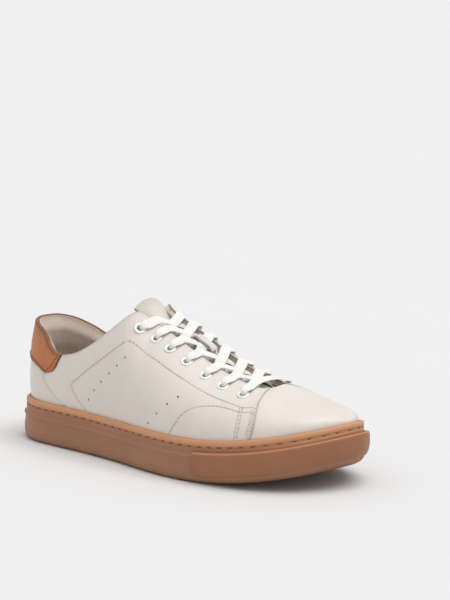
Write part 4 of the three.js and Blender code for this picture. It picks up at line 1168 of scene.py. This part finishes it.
def linings():
    def level(q):
        return lambda v: q + 0 * v

    def front(v):
        return mix(9.98, 9.75, between(v, 0.85, 1))

    q, v = panel_grid(level(-3), level(3), LINING_FOOT_V, LINING_TOP_V, 90, 66, 1.5)
    lining_piece("heel_lining_knit", q, v, "heel_lining")
    for side, name in SIDES:
        q, v = panel_grid(level(3.01), front, LINING_FOOT_V, LINING_TOP_V, 150, 76, 1.5)
        q, v = grid_on_side(q, v, side)
        holes = [(e["centre"], e["normal"]) for e in eyelets[side]]
        lining_piece(f"{name}_lining_knit", q, v, f"{name}_lining", True, holes)
    q, v = panel_grid(level(10.0), level(RING - 10.0), LINING_FOOT_V, 1.0, 240, 76, 2.0)
    q = (q + RING - q[::-1]) / 2
    lining_piece("vamp_lining_knit", q, v, "vamp_lining")


linings()

BOARD_TOP = 16.4
INNER_INSET = LINING_DEPTH + LINING_THICKNESS + 0.6
SOCK_INSET = LINING_DEPTH + LINING_THICKNESS + 0.1
SOCK_TOP = 4.4                  # upper face of the sockliner, above the board
# Side of the sockliner, as (inset, height above the board).
SOCK_SIDE = [(2, GAP), (0.2, GAP), (0, 0.9), (0, 3.0), (0.3, 3.9), (1.0, SOCK_TOP), (2.2, SOCK_TOP)]


def sock_edge(extra):
    return lambda rib: upper_inset(rib) + SOCK_INSET + extra


rows = [(sock_edge(3), BOARD_TOP + GAP, s) for s in (1, 0.6, 0.3)]
rows += [(sock_edge(extra), BOARD_TOP + height, 0) for extra, height in SOCK_SIDE]
rows += [(sock_edge(3), BOARD_TOP + SOCK_TOP - 0.9 * s, s) for s in (0.15, 0.3, 0.5, 0.7, 0.85, 1)]
sock = outline_body("sockliner_fabric", rows, SOCK, sharp=60)
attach(sock, "shoe")
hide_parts("sockliner")

# ---------------------------------------------------------------- eyelets
EYELET = fillet([
    (2.2, -FLANGE_BOTTOM - 0.4), (3.5, -FLANGE_BOTTOM - 0.4), (3.5, -FLANGE_BOTTOM), (2.65, -FLANGE_BOTTOM),
    (2.65, 0.3), (4.3, 0.32), (4.15, 0.85), (3.2, 1.15), (2.3, 0.8), (2.2, 0.2), (2.2, -FLANGE_BOTTOM - 0.2),
], 0.35)
for side, name in SIDES:
    for i, e in enumerate(eyelets[side], 1):
        ring = revolve(f"{name}_eyelet_ring_{i}", EYELET, [(e["centre"], e["normal"])], ENAMEL)
        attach(ring, "shoe")
        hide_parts(f"{name}_eyelet_{i}")


# ---------------------------------------------------------------- the throat and the tongue
def throat_middle(rib):
    return upper_face(LATERAL, rib, 1.0) + upper_face(MEDIAL, rib, 1.0)


def throat_up(rib):
    at = max(rib, THROAT_TOP)
    along = throat_middle(at + 0.2) - throat_middle(at - 0.05)
    return unit(np.array([-along[2], 0, along[0]]))


def throat_point(rib, across, height):
    point = mix(upper_face(LATERAL, rib, 1.0), upper_face(MEDIAL, rib, 1.0), (across + 1) / 2)
    return point + throat_up(rib) * height


TONGUE_DEPTH = 8
TONGUE_RIBS = [6.95, 7.2, 7.6, 8.1, 8.6, 9.1, 9.55]
TONGUE_RISE = [(-0.42, -3.9), (-0.15, -2.6), (0.15, -2.6), (0.42, -3.9)]
TONGUE_END = [
    (-31, 111.8, 14.5, 0.7, 6.5, 0, 4), (-28.3, 106, 14, 1.5, 3.6, 0.3, 2.5),
    (-22.3, 99.2, 12.4, 3, 5, 0.8, 0.6), (-16, 93.5, 14, 2, 7, 0, 0),
]
TONGUE_ACROSS = np.array([-1, -0.7, -0.4, -0.2, -0.07, 0.07, 0.2, 0.4, 0.7, 1])


def tongue_section(rib):
    low = mix(0.6, 0.8, float(between(rib, 7, 9.6)))
    levels = np.array([low, (low + 1) / 2, 1.0])
    own = below(np.full(3, rib), levels, TONGUE_DEPTH)
    other = below(np.full(3, RING - rib), levels, TONGUE_DEPTH)
    sink = -0.6 * float(between(rib, 9, 9.6))
    middle = [throat_point(rib, across, height + sink) for across, height in TONGUE_RISE]
    return np.array([*own, *middle, *other[::-1]])


def tongue_end_row(x, z, half, sweep, drop, tilt, shift):
    t = TONGUE_ACROSS
    return np.stack([x - sweep * t * t, half * t - shift, z - drop * t * t - tilt * t], -1)


def tongue_surface(rows=90, columns=64):
    """The tongue's face as a fine grid, smooth through its control rows."""
    sections = [tongue_section(rib) for rib in TONGUE_RIBS]
    sewn = sections[-1] * [1, 0.9, 1] + [11, 0, -2.2]
    sheet = np.array([*(tongue_end_row(*row) for row in TONGUE_END), *sections, sewn])
    run = distance_along(sheet[:, 4:6].mean(1))
    lengthwise = keyed_curve(np.column_stack([run, sheet.reshape(len(sheet), -1)]))
    t = spread(run[-1], run[-1] / rows) * run[-1]
    sheet = lengthwise(t).reshape(len(t), -1, 3)
    fine = np.empty((len(t), columns + 10, 3))
    for k, row in enumerate(sheet):
        around = distance_along(row)
        places = spread(around[-1], around[-1] / columns)
        curve = keyed_curve(np.column_stack([around, row]))
        at = np.interp(np.linspace(0, 1, columns + 10), np.linspace(0, 1, len(places)), places) * around[-1]
        fine[k] = curve(at)
    return fine


def sheet_normals(grid):
    along = np.gradient(grid, axis=0)
    across = np.gradient(grid, axis=1)
    return unit(np.cross(along, across))


TONGUE_HEM = 7                  # grid lines from the edge to where the padding starts


def tongue_layers():
    grid = tongue_surface()
    ups = sheet_normals(grid)
    away = edge_distance(grid)
    # The lining comes up to meet the leather along the edge, so that the padding is closed in.
    pillow = between(away, 0.5, 7)
    lining_top = mix(1.3, 4.7, pillow)
    drop = rounded(away, 0.8)
    whole = slice(None)
    inside = slice(TONGUE_HEM, -TONGUE_HEM)
    layers = [
        ("tongue_leather_face", drop, np.maximum(1.15, drop + 0.3), whole, TONGUE_WHITE, "tongue_shell",
         None),
        ("tongue_padding", 1.3 + 0.3 * pillow, lining_top - 0.1, inside, FOAM, "tongue_foam", 0.7),
        ("tongue_lining_knit", lining_top, lining_top + 0.9, whole, LINING, "tongue_lining", None),
    ]
    sewn = grid[-6:].mean((0, 1))
    free = grid[-16:-10].mean((0, 1))
    for name, top, bottom, part, material, node, fill in layers:
        outer = (grid - ups * top[..., None])[part, part]
        inner = (grid - ups * np.maximum(bottom, top + 0.15)[..., None])[part, part]
        points, faces, first = closed_shell(outer[::-1], inner[::-1])
        cut_edge_and_shade = np.exp(-away[part, part][::-1].ravel()[first] / 0.8)
        piece = make_object(name, points, faces, material, {"cut_edge_and_shade": doubled(cut_edge_and_shade)})
        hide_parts(node)
        tuple(placed(sewn))
        tuple(placed(free))
        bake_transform(piece)


tongue_layers()

# ---------------------------------------------------------------- lace keeper
KEEPER_PAIR = 2
KEEPER_HALF_WIDTH = 0.24
KEEPER_THICKNESS = 1.2
KEEPER_ARCH = [(-0.28, -2.1), (-0.24, -2.1), (-0.2, 2.7), (0, 3), (0.2, 2.7), (0.24, -2.1), (0.28, -2.1)]
keeper_rib = (eyelets[LATERAL][KEEPER_PAIR]["throat_rib"]
              + eyelets[MEDIAL][KEEPER_PAIR + 1]["throat_rib"]) / 2


def keeper():
    run = np.arange(len(KEEPER_ARCH))
    arch = keyed_curve([(i, *key) for i, key in zip(run, KEEPER_ARCH)])
    s = np.linspace(0, len(KEEPER_ARCH) - 1, 50)
    t = spread(8, 0.8) * 2 - 1
    places = arch(s)
    grid = np.array([[throat_point(keeper_rib + r, a * KEEPER_HALF_WIDTH, h) for a in t] for r, h in places])
    ups = -sheet_normals(grid[:, ::-1])[:, ::-1]
    ups = np.where((ups[..., 2:] < -0.2), -ups, ups)
    away = edge_distance(grid)
    outer = grid + ups * (KEEPER_THICKNESS - rounded(away, 0.4))[..., None]
    points, faces, first = closed_shell(outer, grid)
    cut_edge_and_shade = np.exp(-away.ravel()[first] / 0.6)
    piece = make_object("lace_keeper_strap", points, faces, TONGUE_WHITE, {"cut_edge_and_shade": doubled(cut_edge_and_shade)})
    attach(piece, "tongue")
    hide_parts("lace_keeper")


keeper()

# ---------------------------------------------------------------- the lace
LACE_WIDTH = 7.6
LACE_THICKNESS = 1.2
FLAT = (LACE_WIDTH, LACE_THICKNESS)
PINCHED = (6.8, 1.35)
BUNCHED = (4.3, 1.8)
OVER = 1.45
UNDER = 6.3
STRAND_OVER = [(-0.5, -0.8), (-0.2, 1.35), (0.5, 1.7), (0.95, 1.6)]
STRAND_UNDER = [(-0.48, -1.7), (0, -0.2), (0.45, 0.9), (0.95, 1.6)]
BAR = [(0, 2.9), (0.5, 2.7), (0.95, 1.6)]
TUCK = [
    (6.42, 0.7), (6.45, 0.55), (6.55, 0.46), (6.75, 0.4), (7.1, 0.3), (7.5, 0.18), (8, 0.06),
    (8.5, -0.04), (9, -0.13),
]
AGLET_ENDS = [(9.4, -0.2), (10.3, -0.24)]
AGLET_PROFILE = fillet([
    (0.05, 0), (1.5, 0), (1.7, 0.8), (1.7, 9), (1.7, 17.2), (1.4, 18), (0.05, 18),
], 0.4)
TUCK_CLEARANCE = 1.9
AGLET_CLEARANCE = 3


def crossing(side, from_rib, landing, heights):
    stops = []
    for across, height in heights:
        rib = mix(from_rib, landing["throat_rib"], (across + 1) / 2)
        up = throat_up(rib)
        if across > 0.9:
            up = unit(up + landing["normal"])
        stops.append((throat_point(rib, side * across, height), up, *FLAT))
    return stops


def beside(e, along, height):
    """A point beside an eyelet: along the leather towards the throat, and above it."""
    return e["centre"] + e["inward"] * along + e["normal"] * height


def down_through(e):
    up, outward = e["normal"], -e["inward"]
    return [
        (beside(e, 7.5, OVER), up, *FLAT),
        (beside(e, 4.2, 2.4), up, *PINCHED),
        (beside(e, 1.7, 1.7), unit(up + outward), *BUNCHED),
        (beside(e, 1.0, -0.6), outward, *BUNCHED),
        (beside(e, 1.0, -FLANGE_BOTTOM), outward, *BUNCHED),
    ]


def under_eyestay(e):
    return [
        (beside(e, 1.4, -UNDER - 0.5), unit(-e["normal"] - e["inward"]), *PINCHED),
        (beside(e, 5, -UNDER), -e["normal"], *FLAT),
        (e["edge"] + e["normal"] * (-UNDER + 0.2), -e["normal"], *FLAT),
    ]


def inside_lining(side, rib, v, clearance):
    q = on_side(rib, side)
    return below(q, v, lining_floor(rib, v) + clearance)


def tucked_end(side, e):
    down = inside_lining(side, *TUCK[0], TUCK_CLEARANCE) - e["centre"]
    down = unit(down - e["normal"] * down.dot(e["normal"]))
    start = e["centre"] + down * 1.4 - e["normal"] * (UNDER + 0.5)
    route = [(*place, TUCK_CLEARANCE, FLAT) for place in TUCK]
    route.append((*AGLET_ENDS[0], AGLET_CLEARANCE, PINCHED))
    return [(start, unit(e["normal"] + down), *PINCHED)] + [
        (inside_lining(side, rib, v, clearance), normal(on_side(rib, side), v), *size)
        for rib, v, clearance, size in route
    ]


def facing(stops, face_up):
    """Stops with the face of the lace turned up (1) or down (-1)."""
    return [(point, up * face_up, width, thick) for point, up, width, thick in stops]


def half_lace(first_side):
    lowest = len(EYELET_RIBS) - 1
    low = eyelets[first_side][lowest]
    stops = crossing(first_side, low["throat_rib"], low, BAR)
    side, face_up = first_side, 1
    for i in range(lowest, 0, -1):
        stops += facing(down_through(eyelets[side][i]) + under_eyestay(eyelets[side][i]), face_up)
        face_up, side = -face_up, -side
        heights = STRAND_OVER if side == MEDIAL else STRAND_UNDER
        strand = crossing(side, eyelets[-side][i]["throat_rib"], eyelets[side][i - 1], heights)
        stops += facing(strand, face_up)
    return stops + facing(down_through(eyelets[side][0]) + tucked_end(side, eyelets[side][0]), face_up)


def lace():
    halves = {side: half_lace(side) for side in (MEDIAL, LATERAL)}
    stops = halves[MEDIAL][:0:-1] + halves[LATERAL]
    table = np.array([[*point, *up, width, thick] for point, up, width, thick in stops])
    run = distance_along(table[:, :3])
    curve = keyed_curve(np.column_stack([run, table]))
    s = np.arange(0, run[-1], 0.9)
    table = curve(s)
    points, ups = table[:, :3], unit(table[:, 3:6])
    width, thick = table[:, 6], table[:, 7]
    angle = round_circle(16)
    across = np.sign(np.cos(angle)) * np.abs(np.cos(angle)) ** 0.55
    high = np.sign(np.sin(angle)) * np.abs(np.sin(angle)) ** 0.75
    sections = np.stack([width[:, None] / 2 * across, thick[:, None] / 2 * high], -1)
    piece = swept_tube("lace_flat", points, ups, sections, LACE, sharp=75)
    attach(piece, "shoe")
    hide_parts("lace")
    for side, name in SIDES[::-1]:
        start = halves[side][-1][0]
        along = unit(inside_lining(side, *AGLET_ENDS[1], AGLET_CLEARANCE) - start)
        tip = revolve(f"{name}_lace_tip", AGLET_PROFILE, [(start + along * GAP, along)], AGLET, steps=20)
        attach(tip, "shoe")
        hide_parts(f"{name}_aglet")


lace()

# ---------------------------------------------------------------- hidden parts that stay as packed
HIDDEN = {
    "midsole_foam": FOAM, "insole_board": BOARD, "toe_puff": BOARD, "heel_counter": BOARD,
    "collar_foam": FOAM, "lateral_eyestay_backing": BOARD, "medial_eyestay_backing": BOARD,
}
for node, material in HIDDEN.items():
    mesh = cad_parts[node].data
    mesh.materials.clear()
    mesh.materials.append(material)

# ---------------------------------------------------------------- floor, light and camera
FLOOR = plain("pale floor", (222, 222, 222), (221, 221, 221), 0.9, size=400.0, depth=0.0)
floor_mesh = bpy.data.meshes.new("floor")
FLOOR_REACH = 60.0              # metres each way
corners = [(x * FLOOR_REACH, y * FLOOR_REACH, 0) for x, y in ((-1, -1), (1, -1), (1, 1), (-1, 1))]
floor_mesh.from_pydata(corners, [], [(0, 1, 2, 3)])
floor_mesh.materials.append(FLOOR)
floor = bpy.data.objects.new("floor", floor_mesh)
bpy.context.scene.collection.objects.link(floor)
floor.location.z = -0.0002

world = bpy.data.worlds.new("studio")
bpy.context.scene.world = world
world.use_nodes = True
HORIZON_LIGHT = 0.87
SKY_LIGHT = 0.66
sky = world.node_tree.nodes
sky_link = world.node_tree.links.new
direction = sky.new("ShaderNodeTexCoord")
split = sky.new("ShaderNodeSeparateXYZ")
level = sky.new("ShaderNodeMapRange")
level.inputs["From Min"].default_value = 0.02
level.inputs["From Max"].default_value = 0.12
level.inputs["To Min"].default_value = HORIZON_LIGHT
level.inputs["To Max"].default_value = SKY_LIGHT
sky_link(direction.outputs["Generated"], split.inputs[0])
sky_link(split.outputs["Z"], level.inputs["Value"])
sky_link(level.outputs["Result"], sky["Background"].inputs["Strength"])
sky["Background"].inputs["Color"].default_value = (1, 1, 1, 1)


def towards(azimuth, elevation):
    """Unit vector from the shoe towards a place, from its azimuth and elevation in degrees."""
    a, e = np.radians(azimuth), np.radians(elevation)
    return np.array([np.sin(a) * np.cos(e), -np.cos(a) * np.cos(e), np.sin(e)])


def sun(name, azimuth, elevation, strength, softness):
    light = bpy.data.lights.new(name, "SUN")
    light.energy = strength
    light.angle = np.radians(softness)
    obj = bpy.data.objects.new(name, light)
    bpy.context.scene.collection.objects.link(obj)
    obj.rotation_euler = Vector(towards(azimuth, elevation)).to_track_quat("Z", "Y").to_euler()


sun("key", 110, 72, 1.8, 50)

CAMERA_AZIMUTH = 42
CAMERA_ELEVATION = 8.54
CAMERA_DISTANCE = 1500
SENSOR_WIDTH = 36
FOCAL = 126.63
AIM_RIGHT = 27.75               # the middle of the picture, from the design frame's origin
AIM_UP = 111.46
back = towards(CAMERA_AZIMUTH, CAMERA_ELEVATION)
right = np.array([np.cos(np.radians(CAMERA_AZIMUTH)), np.sin(np.radians(CAMERA_AZIMUTH)), 0])
up = np.cross(back, right)
camera_data = bpy.data.cameras.new("camera")
camera_data.lens = FOCAL
camera_data.sensor_width = SENSOR_WIDTH
camera_data.clip_end = 200
camera = bpy.data.objects.new("camera", camera_data)
bpy.context.scene.collection.objects.link(camera)
spot = placed(back * CAMERA_DISTANCE + right * AIM_RIGHT + up * AIM_UP)
camera.matrix_world = Matrix(np.vstack([np.column_stack([right, up, back, spot]), [0, 0, 0, 1]]).tolist())
bpy.context.scene.camera = camera
bpy.context.scene.view_settings.view_transform = "Standard"
